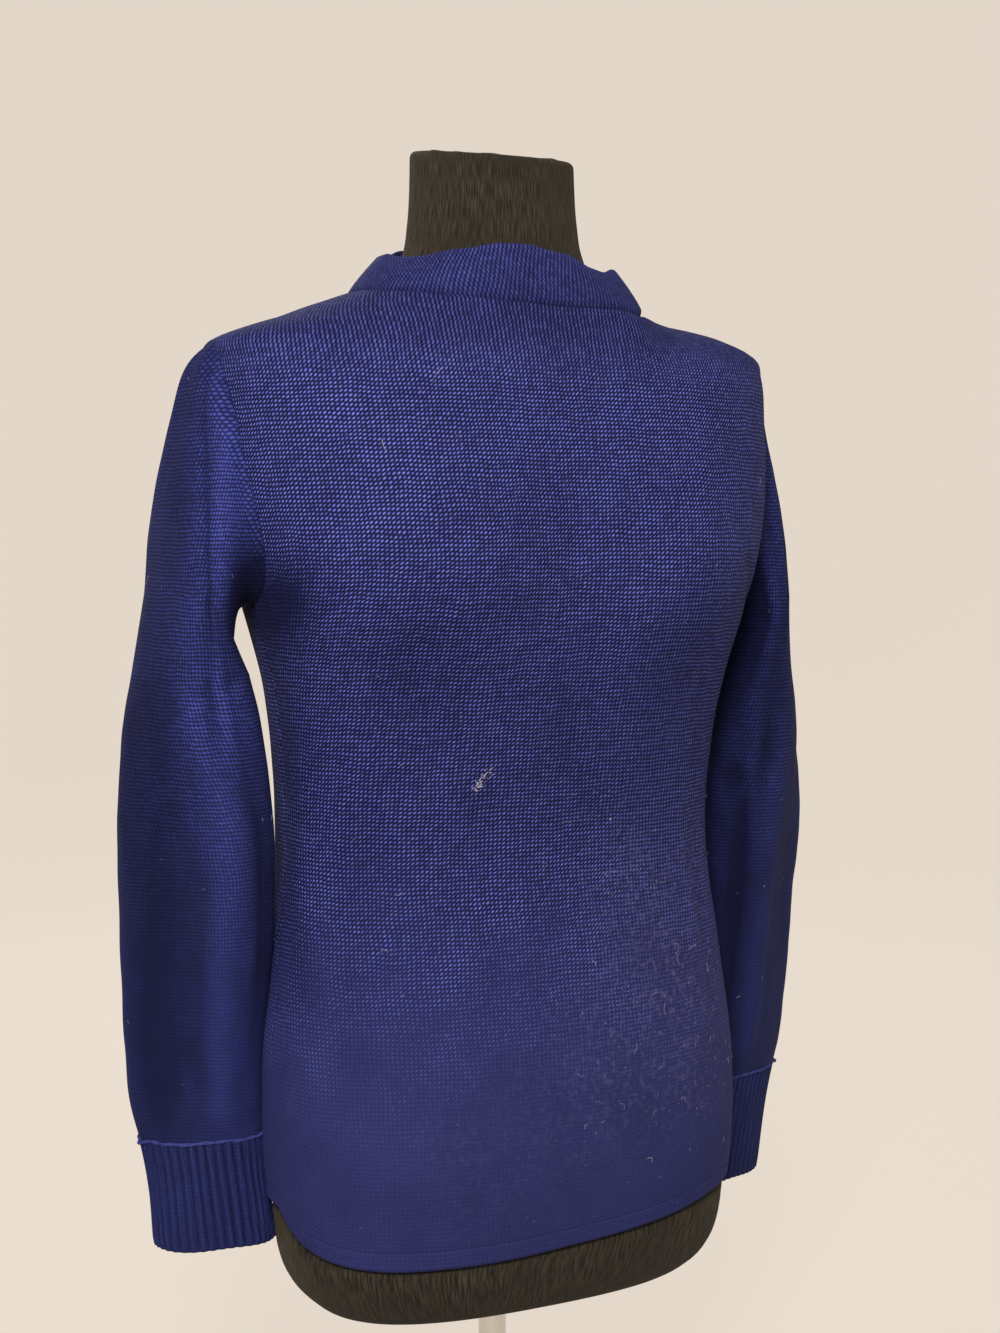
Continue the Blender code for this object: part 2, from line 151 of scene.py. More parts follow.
def rounded_corner(radius, z, size, start):
    """Points of a quarter round of that size about (radius, z), from start degrees upwards."""
    turns = [math.radians(start + 90 * step / CORNER_STEPS) for step in range(CORNER_STEPS + 1)]
    return [(radius + size * math.cos(turn), z + size * math.sin(turn)) for turn in turns]


def disc_profile(radius, low, high, size):
    """The profile of a flat disc whose rim is rounded to that size."""
    corners = rounded_corner(radius - size, low + size, size, -90)
    corners += rounded_corner(radius - size, high - size, size, 0)
    return [(0, low)] + corners + [(0, high)]


# Polished stainless steel: mirror-like, with the faint even haze that polishing leaves.
polished_steel, tree, shader = new_material(
    "polished_steel", Base_Color=linear("cfcbc2"), Metallic=1.0, Roughness=0.16
)
spot = add_node(tree, "TexCoord", {})["Object"]
haze = noise(tree, spot, 90.0, 4.0)
tree.links.new(ramp(tree, haze, 0.0, 1.0, 0.10, 0.24), shader.inputs["Roughness"])
bumped(tree, shader, haze, 0.03, 0.0002)

low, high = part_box("base_plate")
profile = disc_profile(high[0], low[2], high[2], PLATE_EDGE_RADIUS)
add_piece(
    "round_base_plate", spun(profile, PLATE_STEPS), polished_steel, ["base_plate"]
)

low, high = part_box("pole")
shape = spun([(0, low[2]), (high[0], low[2]), (high[0], high[2]), (0, high[2])], POLE_STEPS)
rims = [edge for edge in shape.edges if edge.calc_face_angle(0) > 1.0]
bmesh.ops.bevel(
    shape, geom=rims, offset=POLE_RIM_BEVEL, segments=2, profile=0.5, affect="EDGES", material=-1
)
add_piece("pole_tube", shape, polished_steel, ["pole"])

# ================================================================ the dress form
# A limbless torso with a neck, moulded and covered in black stretch jersey that is drawn smooth
# and closed at the neck with a covered disc. Its shape is the sweater's, a little smaller, so
# the level sections of the sweater's body are given here.
BODY_COLUMNS = ("z", "half_width", "front_y", "back_y", "side_y", "boxy")
BODY = np.array([
    (0.225, 0.154, -0.106, 0.076, -0.015, 2.6),
    (0.280, 0.161, -0.112, 0.080, -0.017, 2.4),
    (0.330, 0.163, -0.112, 0.082, -0.017, 2.2),
    (0.400, 0.156, -0.103, 0.083, -0.012, 2.2),
    (0.480, 0.147, -0.093, 0.085, -0.004, 2.4),
    (0.530, 0.149, -0.098, 0.085, -0.005, 2.4),
    (0.580, 0.155, -0.106, 0.086, -0.006, 2.5),
    (0.632, 0.168, -0.113, 0.089, -0.005, 2.7),
    (0.660, 0.176, -0.114, 0.092, -0.003, 2.8),
    (0.700, 0.185, -0.111, 0.095, 0.000, 2.8),
    (0.750, 0.1895, -0.103, 0.092, 0.001, 2.7),
    (0.778, 0.191, -0.096, 0.086, 0.002, 2.6),
    (0.792, 0.189, -0.092, 0.082, 0.002, 2.4),
    (0.809, 0.144, -0.088, 0.075, 0.001, 2.2),
    (0.826, 0.098, -0.085, 0.064, -0.002, 2.0),
])
BUST_X = 0.090
BUST_Z = 0.652
BUST_SWELL = 0.018
BUST_HALF_WIDTH = 0.062
BUST_ABOVE = 0.080
BUST_BELOW = 0.055
SECTION_SAMPLES = 361

# On the wearer's left the cloth lies lower and is drawn in beside the neck. Each starts and is
# full in x, starts to fade and has ended in x, and starts and is full in z.
LOWERED = {"by": 0.0060, "near_x": (0.040, 0.080), "far_x": (0.150, 0.105), "z": (0.765, 0.805)}
DRAWN_IN = {"by": 0.0080, "near_x": (0.062, 0.092), "far_x": (0.165, 0.110), "z": (0.785, 0.815)}

UNDERARM_Z = 0.632
SHOULDER_TIP_Z = 0.792
NECK_POINT_Z = 0.8230
HEM_Z = 0.240
FRONT_HEM_DIP = 0.011

# How far the hem and the neckline lie below their own level heights, along each panel.
DROP_COLUMNS = ("share", "hem", "neck")
FRONT_DROPS = np.array([
    (0.0, -0.012, -0.003), (0.05, 0.0015, -0.0022), (0.1, 0.0085, -0.001), (0.15, 0.012, 0.0004),
    (0.2, 0.0134, 0.0018), (0.3, 0.0132, 0.0044), (0.4, 0.012, 0.0072), (0.5, 0.0092, 0.009),
    (0.6, 0.0062, 0.0088), (0.7, 0.002, 0.0066), (0.8, -0.0035, 0.003), (0.9, -0.0065, 0.0),
    (1.0, -0.0085, -0.0023),
])
BACK_DROPS = np.array([
    (0.0, -0.0125, -0.003), (0.05, -0.012, -0.0029), (0.12, -0.0085, -0.0026),
    (0.25, -0.002, -0.0018), (0.4, 0.001, -0.0006), (0.55, 0.0015, 0.0), (0.7, 0.0, -0.0002),
    (0.85, -0.004, -0.001), (1.0, -0.0085, -0.0023),
])
NECK_DROP_STARTS_Z = 0.775
HEM_DIP_ENDS_Z = 0.330

KNIT = 0.0016
FORM_CLEARANCE = 0.0020
BELOW_HEM_FULLNESS = 0.0034
BELOW_HEM = (0.0005, 0.0070)
UNDERSIDE_COLUMNS = ("height", "inset")
UNDERSIDE = np.array([
    (0.0, 0.042), (0.001, 0.0365), (0.004, 0.028), (0.012, 0.016), (0.024, 0.007), (0.038, 0.002),
    (0.05, 0.0),
])
EASE_COLUMNS = ("z", "ease")
EASE = np.array([
    (0.2, 0.002), (0.3, 0.003), (0.4, 0.007), (0.5, 0.009), (0.6, 0.004), (0.67, 0.0), (0.76, 0.0),
    (0.79, 0.0015), (0.84, 0.0015),
])
NECK_COLUMNS = ("z", "half_width", "front_y", "back_y")
NECK = np.array([
    (0.820, 0.092, -0.079, 0.062),
    (0.830, 0.079, -0.072, 0.060),
    (0.841, 0.066, -0.062, 0.0575),
    (0.854, 0.0590, -0.0580, 0.0570),
    (0.875, 0.0550, -0.0555, 0.0560),
    (0.900, 0.0535, -0.0535, 0.0540),
    (0.914, 0.0530, -0.0530, 0.0530),
])
NECK_TOP_Z = 0.9182
NECK_TOP_ROUND = 0.0045
NECK_TOP_TILT = math.radians(9)
SLANT_FROM_Z = 0.860
GATHERED_FROM_Z = 0.895
PLEAT_COLUMNS = ("turn", "width", "lift")
PLEATS = [
    (8, 9, 0.0012), (34, 7, 0.0007), (62, 10, 0.001), (95, 6, 0.0005), (121, 12, 0.0013),
    (163, 8, 0.0009), (197, 12, 0.0011), (231, 7, 0.0006), (262, 14, 0.0013), (301, 9, 0.0008),
    (338, 7, 0.0011),
]
AROUND_FORM = 200
FORM_ROWS = {"underside": 22, "torso": 120, "shoulder": 16, "neck": 34, "neck_round": 6}
FORM_SHOULDER_Z = 0.817


def smooth_value(table, columns, name, at):
    """A column of a table at any place between its rows, on a smooth curve through them."""
    places = table[:, 0]
    values = table[:, columns.index(name)]
    slopes = np.gradient(values, places)
    at = np.clip(at, places[0], places[-1])
    i = np.clip(np.searchsorted(places, at) - 1, 0, len(places) - 2)
    span = places[i + 1] - places[i]
    t = (at - places[i]) / span
    rise = values[i] * (1 + 2 * t) * (1 - t) ** 2 + values[i + 1] * t**2 * (3 - 2 * t)
    lean = slopes[i] * t * (1 - t) ** 2 + slopes[i + 1] * t**2 * (t - 1)
    return rise + span * lean


def row_at(table, columns, at):
    """All the columns of a table at any place between its rows, by name."""
    return {name: smooth_value(table, columns, name, at) for name in columns[1:]}


def named_rows(columns, table):
    """The rows of a table, each with its values by name."""
    return [dict(zip(columns, row)) for row in table]


def hump(*aways):
    """1 where all the distances are 0, falling off smoothly as any of them passes 1 or -1."""
    return np.exp(-sum(away**2 for away in aways))


def running(steps, axis=0):
    """The sum of the steps up to each point, from 0 at the first."""
    return np.insert(np.cumsum(steps, axis=axis), 0, 0, axis=axis)


def bust_swell(x, z):
    """How far the bust lifts the front at x and z."""
    reach = np.where(z > BUST_Z, BUST_ABOVE, BUST_BELOW)
    across = hump((np.abs(x) - BUST_X) / BUST_HALF_WIDTH)
    return BUST_SWELL * hump((z - BUST_Z) / reach) * across


def eased(value, start, end):
    """0 before the start, 1 past the end and a smooth step between them."""
    step = np.clip((value - start) / (end - start), 0, 1)
    return step**2 * (3 - 2 * step)


def settled(points):
    """The points as they lie on the wearer's left, lower and drawn in beside the neck."""
    x, z = points[..., 0], points[..., 2]
    moved = points.copy()
    for axis, move in ((2, LOWERED), (0, DRAWN_IN)):
        share = eased(x, *move["near_x"]) * eased(x, *move["far_x"]) * eased(z, *move["z"])
        moved[..., axis] -= move["by"] * share
    return moved


def body_points(z, back, share, cut=0.0, inset=0.0):
    """Points on the body's half sections, and how far along the cloth each is from the middle.

    share runs from the wearer's right to the left, over a half section whose ends are cut off.
    """
    z, share, cut = [v.astype(float) for v in np.broadcast_arrays(z, share, cut)]
    row = row_at(BODY, BODY_COLUMNS, z[:, None])
    angle = np.linspace(-math.pi / 2, math.pi / 2, SECTION_SAMPLES)[None, :]
    width = row["half_width"] - inset
    side = row["side_y"]
    deep = (row["back_y"] - side if back else side - row["front_y"]) - inset
    across = np.abs(np.sin(angle) / width) ** row["boxy"]
    along = np.abs(np.cos(angle) / deep) ** row["boxy"]
    radius = (across + along) ** (-1 / row["boxy"])
    x = radius * np.sin(angle)
    away = radius * np.cos(angle)
    y = side + away if back else side - away - bust_swell(x, z[:, None]) * away / deep
    run = running(np.hypot(np.diff(x, axis=1), np.diff(y, axis=1)), axis=1)
    at = cut + share * (run[:, -1] - 2 * cut)
    points = [
        (np.interp(a, r, xs), np.interp(a, r, ys), height)
        for a, r, xs, ys, height in zip(at, run, x, y, z)
    ]
    return settled(np.array(points)), at - run[:, -1] / 2


def laid_cloth(points, measures, closed, outside=True, amounts=None):
    """A sheet of quads through rows of points, with a UV map in metres of cloth.

    closed joins the first and last column. outside is False where the rows run the other way.
    amounts are named numbers kept at each point, for the sheet's material to read.
    """
    rows, columns = points.shape[:2]
    shape = bmesh.new()
    bmesh.ops.create_grid(shape, x_segments=columns - 1, y_segments=rows - 1, size=0.5)
    cloth_map = shape.loops.layers.uv.new("cloth")
    shape.verts.ensure_lookup_table()
    flat_measures = measures.reshape(-1, 2)
    for vert, point in zip(shape.verts, points.reshape(-1, 3)):
        vert.co = point
    for face in shape.faces:
        for loop in face.loops:
            loop[cloth_map].uv = flat_measures[loop.vert.index]
    for name, values in (amounts or {}).items():
        layer = shape.verts.layers.float.new(name)
        for vert, amount in zip(shape.verts, np.ravel(values)):
            vert[layer] = float(amount)
    if closed:
        bmesh.ops.remove_doubles(shape, verts=shape.verts, dist=1e-6)
    if not outside:
        bmesh.ops.reverse_faces(shape, faces=shape.faces)
    shape.normal_update()
    return shape


def edge_drop(z, back, share):
    """How far a point of a row is below the row's height, near the neck and near the hem."""
    table = BACK_DROPS if back else FRONT_DROPS
    near_neck = np.maximum(0, (z - NECK_DROP_STARTS_Z) / (NECK_POINT_Z - NECK_DROP_STARTS_Z))
    near_hem = np.maximum(0, (HEM_DIP_ENDS_Z - z) / (HEM_DIP_ENDS_Z - HEM_Z))
    neck = smooth_value(table, DROP_COLUMNS, "neck", share)
    hem = smooth_value(table, DROP_COLUMNS, "hem", share)
    return neck * near_neck**2 + hem * near_hem**1.3


def form_ring(z, inset):
    """A level ring of the form inside the cloth; below the hem it keeps the hem's section.

    It is drawn in above the hem's edge, and fills out again just below it.
    """
    shares = np.linspace(0, 1, AROUND_FORM // 2 + 1)
    level = max(z, HEM_Z - FRONT_HEM_DIP)
    halves = []
    for back, order in ((False, shares), (True, shares[::-1])):
        edge = HEM_Z - edge_drop(HEM_Z, back, order)
        full = BELOW_HEM_FULLNESS * eased(z, edge - BELOW_HEM[0], edge - BELOW_HEM[1])
        halves.append(body_points(level, back, order, 0, inset - full[:, None])[0])
    ring = np.concatenate([halves[0][:-1], halves[1]])
    ring[:, 2] += z - level
    return ring


def turned_from(turn, centre):
    """How many degrees a turn is past another one, the short way round."""
    return (turn - centre + 180) % 360 - 180


def pleat_lift(turn):
    """How far the gathered cover stands up round the top of the neck, at a turn in radians."""
    lift = 0.0
    for pleat in named_rows(PLEAT_COLUMNS, PLEATS):
        away = turned_from(np.degrees(turn), pleat["turn"])
        lift = lift + pleat["lift"] * hump(away / pleat["width"])
    return lift


def neck_ring(z, inset=0.0):
    """A ring of the form's neck; its top is cut at a slant, the front lower."""
    row = row_at(NECK, NECK_COLUMNS, z)
    turn = np.linspace(0, 2 * math.pi, AROUND_FORM + 1)
    near_top = np.clip((z - GATHERED_FROM_Z) / (NECK_TOP_Z - GATHERED_FROM_Z), 0, 1)
    gathered = 0.5 * pleat_lift(turn) * near_top
    deep = np.where(np.sin(turn) > 0, -row["front_y"], row["back_y"]) - inset + gathered
    y = -deep * np.sin(turn)
    x = -(row["half_width"] - inset + gathered) * np.cos(turn)
    slant = np.clip((z - SLANT_FROM_Z) / (NECK_TOP_Z - SLANT_FROM_Z), 0, 1) ** 2
    return settled(np.stack([x, y, z + math.tan(NECK_TOP_TILT) * slant * y], 1))


def form_rings():
    """All rings of the form, from its underside to the top of its neck."""
    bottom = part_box("form")[0][2]
    cloth = KNIT / 2 + FORM_CLEARANCE
    rings = []
    for height in np.linspace(0, 1, FORM_ROWS["underside"])[:-1] ** 2 * UNDERSIDE[-1, 0]:
        z = bottom + height
        inset = smooth_value(UNDERSIDE, UNDERSIDE_COLUMNS, "inset", height)
        rings.append(form_ring(z, inset + cloth + smooth_value(EASE, EASE_COLUMNS, "ease", z)))
    torso = np.linspace(bottom + UNDERSIDE[-1, 0], SHOULDER_TIP_Z, FORM_ROWS["torso"])
    shoulder = np.linspace(SHOULDER_TIP_Z, FORM_SHOULDER_Z, FORM_ROWS["shoulder"])[1:]
    for z in np.concatenate([torso, shoulder]):
        rings.append(form_ring(z, cloth + smooth_value(EASE, EASE_COLUMNS, "ease", z)))
    for z in np.linspace(NECK[1, 0], NECK_TOP_Z - NECK_TOP_ROUND, FORM_ROWS["neck"]):
        rings.append(neck_ring(z))
    for step in np.linspace(0, math.pi / 2, FORM_ROWS["neck_round"])[1:]:
        z = NECK_TOP_Z - NECK_TOP_ROUND * (1 - math.sin(step))
        rings.append(neck_ring(z, NECK_TOP_ROUND * (1 - math.cos(step))))
    return np.array(rings)


def ring_measures(rings):
    """How far along the cloth each point is from the first of its ring, and from the first ring."""
    u = running(np.linalg.norm(np.diff(rings, axis=1), axis=2), axis=1)
    u *= u[:, -1].mean() / u[:, -1:]
    v = running(np.linalg.norm(np.diff(rings, axis=0), axis=2).mean(axis=1))
    return np.stack([u, np.broadcast_to(v[:, None], u.shape)], axis=2)


def vector_maths(tree, operation, inputs):
    """The output of a Vector Math node."""
    return add_node(tree, "VectorMath", inputs, operation=operation)["Vector"]


def blend(tree, share, first, second):
    """A mix of two colours, each an sRGB hex value or the socket of a colour."""
    first, second = [linear(c) if isinstance(c, str) else c for c in (first, second)]
    return add_node(tree, "Mix", {0: share, 6: first, 7: second}, data_type="RGBA")[2]


# Black stretch jersey over the form: matt, with fine broken upright wales, and the brownish cast
# that a thin black cover takes in warm light. The real wales are 1.2 mm apart; drawn at 1.4 mm
# they show as short upright streaks.
FORM_WALE = 0.0014
FORM_STREAK = 0.014
form_jersey, tree, shader = new_material(
    "black_stretch_jersey", Base_Color=linear("26221b"), Roughness=0.92,
    Sheen_Weight=0.12, Sheen_Roughness=0.5, Sheen_Tint=linear("a89a80"), Specular_IOR_Level=0.2,
)
cloth_place = add_node(tree, "UVMap", {}, uv_map="cloth")["UV"]
streaked = vector_maths(
    tree, "MULTIPLY", {0: cloth_place, 1: (1 / FORM_WALE, 1 / FORM_STREAK, 1)}
)
wales = ramp(tree, noise(tree, streaked, 1.0, 3.0), 0.40, 0.62)
spot = add_node(tree, "TexCoord", {})["Object"]
patches = ramp(tree, noise(tree, spot, 30.0, 5.0), 0.3, 0.7, 0.0, 0.6)
shade = blend(tree, patches, blend(tree, wales, "17130e", "423b2f"), "221e17")
tree.links.new(shade, shader.inputs["Base Color"])
bumped(tree, shader, wales, 0.6, 0.0005)

rings = form_rings()
shape = laid_cloth(rings, ring_measures(rings), closed=True)
ends = [edge for edge in shape.edges if edge.is_boundary]
bmesh.ops.edgeloop_fill(shape, edges=ends)
add_piece("dress_form_body", shape, form_jersey, ["form"])

# The disc that closes the neck, a board covered in the same jersey, gathered round its edge.
CAP_THICKNESS = 0.0040
CAP_EDGE = 0.0019
CAP_INSET = 0.0040
CAP_STEPS = 160
CAP_RINGS = (0.9, 0.8, 0.65, 0.5, 0.3, 0)
CAP_PLEATS = 0.9
CAP_SUNK = 0.0006
cap_low, cap_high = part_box("neck_cap")
cap_radius = (cap_high[0] - cap_low[0]) / 2 - CAP_INSET
profile = disc_profile(cap_radius, -CAP_THICKNESS / 2, CAP_THICKNESS / 2, CAP_EDGE)[:-1]
profile += [(cap_radius * share, CAP_THICKNESS / 2) for share in CAP_RINGS]
shape = spun(profile, CAP_STEPS)
cloth_map = shape.loops.layers.uv.new("cloth")
for face in shape.faces:
    for loop in face.loops:
        loop[cloth_map].uv = loop.vert.co.xy
for vert in shape.verts:
    share = min(1, vert.co.xy.length / cap_radius)
    if vert.co.z > 0:
        turn = math.atan2(-vert.co.y, -vert.co.x)
        vert.co.z += CAP_PLEATS * float(pleat_lift(turn)) * share**2 - CAP_SUNK * share**2
slope = Vector((0, -math.sin(NECK_TOP_TILT), math.cos(NECK_TOP_TILT)))
turn = Vector((0, 0, 1)).rotation_difference(slope).to_matrix()
bmesh.ops.rotate(shape, verts=shape.verts, cent=(0, 0, 0), matrix=turn)
middle = (Vector(cap_low) + Vector(cap_high)) / 2
bmesh.ops.translate(shape, verts=shape.verts, vec=middle)
add_piece("neck_disc", shape, form_jersey, ["neck_cap"])

# ================================================================ front and back
# Two panels of single jersey, knitted to shape in a fine navy wool blend and linked at the
# shoulders and sides. Each has a hem turned up inside by 9 mm. The knit is fine and a little fuzzy.
SEAM_GAP = 0.0003
SEAM_ROLL = 0.0005
SEAM_ROLL_WIDTH = 0.0011
HEM_DEPTH = 0.0090
HEM_FOLD_RADIUS = 0.0012
HEM_GROOVE = 0.0004
HEM_GROOVE_WIDTH = 0.0010
HEM_FULLNESS = 0.0002
HEM_FULLNESS_OVER = 0.0015
FOLDS_START_OVER = 0.020
INSIDE_HEM_HEIGHTS = (HEM_DEPTH, 0.0070, 0.0050, 0.0030)
HEM_FOLD_STEPS = 8
FOLD_ROW = len(INSIDE_HEM_HEIGHTS) + HEM_FOLD_STEPS

ARMHOLE_FRONT_DEPTH = 0.038
ARMHOLE_BACK_DEPTH = 0.036
ARMHOLE_LOW_BIAS = 0.40

PANEL_COLUMNS = 118
PANEL_WIDTH = 0.36
EDGE_COLUMNS = (0.0, 0.0005, 0.0010, 0.0016, 0.0024, 0.0036)
BODY_ROWS = 105
HEM_ROWS = 20
ARMHOLE_STEPS = 60
SHOULDER_ROWS = 18
PANEL_UNEVEN = {"by": 0.0005, "waves": (0.020, 0.035, 0.060)}

# Soft troughs in the panels, each with its middle at x and z on the front or the back. length
# runs along the fold, which leans by so many degrees from upright, the top towards +X. lift is
# negative in a trough and positive on a ridge.
PANEL_FOLD_COLUMNS = ("x", "z", "length", "width", "lean", "lift")
FRONT_FOLDS = [
    (-0.031, 0.47, 0.06, 0.01, 2, 0.0007), (-0.05, 0.47, 0.06, 0.012, 2, -0.0006),
    (0.114, 0.445, 0.075, 0.005, -6, -0.0018), (0.103, 0.445, 0.065, 0.007, -6, 0.001),
    (-0.105, 0.59, 0.028, 0.042, -70, -0.0024), (0.085, 0.585, 0.026, 0.042, 70, -0.0024),
    (-0.128, 0.43, 0.08, 0.012, 4, -0.0012), (-0.125, 0.655, 0.03, 0.007, 38, -0.0012),
    (0.14, 0.648, 0.034, 0.006, -34, -0.0014), (-0.08, 0.8, 0.02, 0.01, -60, 0.0006),
    (0.085, 0.802, 0.02, 0.008, 55, -0.001), (0.01, 0.56, 0.06, 0.014, 3, -0.0006),
]
BACK_FOLDS = [
    (0.0, 0.52, 0.11, 0.016, 0, -0.0022), (-0.055, 0.47, 0.1, 0.014, 7, -0.0014),
    (0.062, 0.48, 0.09, 0.015, -8, -0.0016), (-0.028, 0.48, 0.09, 0.012, 3, 0.0012),
    (0.034, 0.49, 0.085, 0.012, -4, 0.0012), (0.03, 0.43, 0.012, 0.06, 4, -0.0016),
    (-0.04, 0.56, 0.011, 0.05, -5, -0.0012), (-0.12, 0.64, 0.045, 0.008, 24, -0.0014),
    (0.12, 0.65, 0.05, 0.008, -26, -0.0016), (-0.105, 0.7, 0.04, 0.01, 20, 0.0008),
    (0.108, 0.705, 0.04, 0.01, -20, 0.0008),
]


def armhole_z(turn):
    """Height on the armhole: turn is 0 at the shoulder tip and pi at the underarm."""
    middle = (SHOULDER_TIP_Z + UNDERARM_Z) / 2
    return middle + (SHOULDER_TIP_Z - UNDERARM_Z) / 2 * np.cos(turn)


def armhole_cut(turn, back):
    """How far the armhole has come in from the side line, along the cloth."""
    depth = np.where(back, ARMHOLE_BACK_DEPTH, ARMHOLE_FRONT_DEPTH)
    return depth * np.sin(turn) * (1 - ARMHOLE_LOW_BIAS * np.cos(turn))


def panel_rows(back):
    """Height, armhole cut and inset of each row of a panel, from inside the hem to the neck."""
    rows = []
    for height in INSIDE_HEM_HEIGHTS:
        rows.append((HEM_Z + height, 0.0, 2 * HEM_FOLD_RADIUS))
    for step in np.linspace(0, math.pi, HEM_FOLD_STEPS):
        z = HEM_Z + HEM_FOLD_RADIUS * (1 - math.sin(step))
        rows.append((z, 0.0, HEM_FOLD_RADIUS * (1 + math.cos(step))))
    start = HEM_Z + 1.4 * HEM_DEPTH
    for z in np.linspace(HEM_Z + HEM_FOLD_RADIUS, start, HEM_ROWS + 1)[1:]:
        rows.append((z, 0.0, 0.0))
    for z in np.linspace(start, UNDERARM_Z, BODY_ROWS + 1)[1:-1]:
        rows.append((z, 0.0, 0.0))
    for turn in np.linspace(math.pi, 0, ARMHOLE_STEPS + 1):
        rows.append((armhole_z(turn), float(armhole_cut(turn, back)), 0.0))
    top = NECK_POINT_Z - SEAM_GAP / 2
    for share in np.linspace(0, 1, SHOULDER_ROWS + 1)[1:]:
        z = SHOULDER_TIP_Z + (top - SHOULDER_TIP_Z) * (1 - (1 - share) ** 1.8)
        rows.append((z, 0.0, 0.0))
    return rows


def outward_normals(grid, closed):
    """The unit normals at a grid of points; closed grids end each row on its first point."""
    across = np.gradient(grid, axis=1)
    if closed:
        across[:, 0] = across[:, -1] = (grid[:, 1] - grid[:, -2]) / 2
    normals = np.cross(across, np.gradient(grid, axis=0))
    normals /= np.linalg.norm(normals, axis=2, keepdims=True) + 1e-12
    outward = grid - grid.mean(axis=1, keepdims=True)
    return normals * np.sign((normals * outward).sum())


def unevenness(points, waves):
    """A soft random rise and fall, from -1 to 1, of crossed waves of the given lengths."""
    total = np.zeros(points.shape[:-1])
    for length in waves:
        for _ in range(3):
            heading = np.array([chance.gauss(0, 1) for _ in range(3)])
            heading *= 2 * math.pi / (length * np.linalg.norm(heading))
            total += np.sin(points @ heading + chance.uniform(0, 2 * math.pi))
    return total / (3 * len(waves))


def pressed_panel(grid, folds):
    """How far a panel's points lie above its smooth form, in the folds given."""
    lift = PANEL_UNEVEN["by"] * unevenness(grid, PANEL_UNEVEN["waves"])
    for fold in named_rows(PANEL_FOLD_COLUMNS, folds):
        lean = math.radians(fold["lean"])
        dx, dz = grid[:, :, 0] - fold["x"], grid[:, :, 2] - fold["z"]
        along = (dx * math.sin(lean) + dz * math.cos(lean)) / fold["length"]
        across = (dx * math.cos(lean) - dz * math.sin(lean)) / fold["width"]
        lift = lift + fold["lift"] * hump(along, across)
    return lift


def body_panel(back):
    """A panel's points with its folds, hem and rolled seams, their normals and cloth measures."""
    ends = np.array(EDGE_COLUMNS) / PANEL_WIDTH
    shares = np.linspace(ends[-1], 1 - ends[-1], PANEL_COLUMNS + 1)[1:-1]
    shares = np.concatenate([ends, shares, 1 - ends[::-1]])
    grid, across = [], []
    for z, cut, inset in panel_rows(back):
        dipped = z - edge_drop(z, back, shares)
        row, from_middle = body_points(dipped, back, shares, cut + SEAM_GAP / 2, inset)
        grid.append(row)
        across.append(from_middle)
    grid, across = np.array(grid), np.array(across)
    up = running(np.linalg.norm(np.diff(grid[:, len(shares) // 2], axis=0), axis=1))
    above_hem = np.maximum(0, up - up[FOLD_ROW])[:, None]
    normals = outward_normals(grid, closed=False)
    lift = pressed_panel(grid, BACK_FOLDS if back else FRONT_FOLDS)
    lift = lift * np.clip(above_hem / FOLDS_START_OVER, 0, 1)
    lift = lift + HEM_FULLNESS * np.clip((HEM_DEPTH - above_hem) / HEM_FULLNESS_OVER, 0, 1)
    lift -= HEM_GROOVE * hump((above_hem - HEM_DEPTH) / HEM_GROOVE_WIDTH)
    width = across[:, -1:] - across[:, :1]
    from_seam = np.minimum(across - across[:, :1], width - (across - across[:, :1]))
    nearest = np.minimum(from_seam, (up[-1] - up)[:, None])
    lift -= SEAM_ROLL * hump(nearest / SEAM_ROLL_WIDTH)
    lift[: FOLD_ROW - 1] = 0
    measures = np.stack([across, np.broadcast_to(up[:, None], across.shape)], axis=2)
    return grid + normals * lift[:, :, None], normals, measures, lift


def thicken(piece, thickness):
    """Gives an open sheet its wall, half of it on each side."""
    wall = piece.modifiers.new("wall", "SOLIDIFY")
    wall.thickness = thickness
    wall.offset = 0
    wall.use_even_offset = True


# Fine wool-blend jersey, dyed navy: rows of small V-shaped stitches, whose right legs are drawn
# lighter as leaning dashes, a painted highlight where they catch the light. Each stitch takes the
# dye a little differently, and loose fibre gives a soft pale bloom. The real stitches are 2.0 mm
# wide and 2.3 mm high, drawn a third wider and a tenth higher so that they show. Lower down the
# cloth is felted from wear: the stitches sink into a smooth nap.
WALE = 0.0027
COURSE = 0.0026
NAP_FROM_Z = 0.500
NAP_TO_Z = 0.310
SHOULDER_FROM_Z = 0.755
SHOULDER_TO_Z = 0.800
SHOULDER_DIM = 0.68
WANDER = 0.0034
BLOOM_COLOUR = "5d5886"


def maths(tree, operation, *values):
    """The output of a Math node."""
    return add_node(tree, "Math", dict(enumerate(values)), operation=operation)[0]


def stitches(tree, place, wale, course, lean, row_gap, wale_gap):
    """How far up a stitch each point is, 0 in the gaps and 1 on its middle, and its cell.

    lean is how far a stitch leans sideways in its row, in wales. The gaps say how deep the lines
    between courses and between wales are, each a number or a socket.
    """
    parts = add_node(tree, "SeparateXYZ", {"Vector": place})
    v = maths(tree, "MULTIPLY", parts["Y"], 1 / course)
    in_row = maths(tree, "SUBTRACT", maths(tree, "FRACT", v), 0.5)
    u = maths(tree, "MULTIPLY", parts["X"], 1 / wale)
    u = maths(tree, "MULTIPLY_ADD", in_row, lean, u)
    shown = []
    for at, gap in ((v, row_gap), (u, wale_gap)):
        low = maths(tree, "COSINE", maths(tree, "MULTIPLY", at, 2 * math.pi))
        low = maths(tree, "MULTIPLY_ADD", low, 0.5, 0.5)
        shown.append(maths(tree, "SUBTRACT", 1.0, maths(tree, "MULTIPLY", low, gap)))
    cell = {"X": maths(tree, "FLOOR", u), "Y": maths(tree, "FLOOR", v)}
    return maths(tree, "MULTIPLY", *shown), add_node(tree, "CombineXYZ", cell)["Vector"]


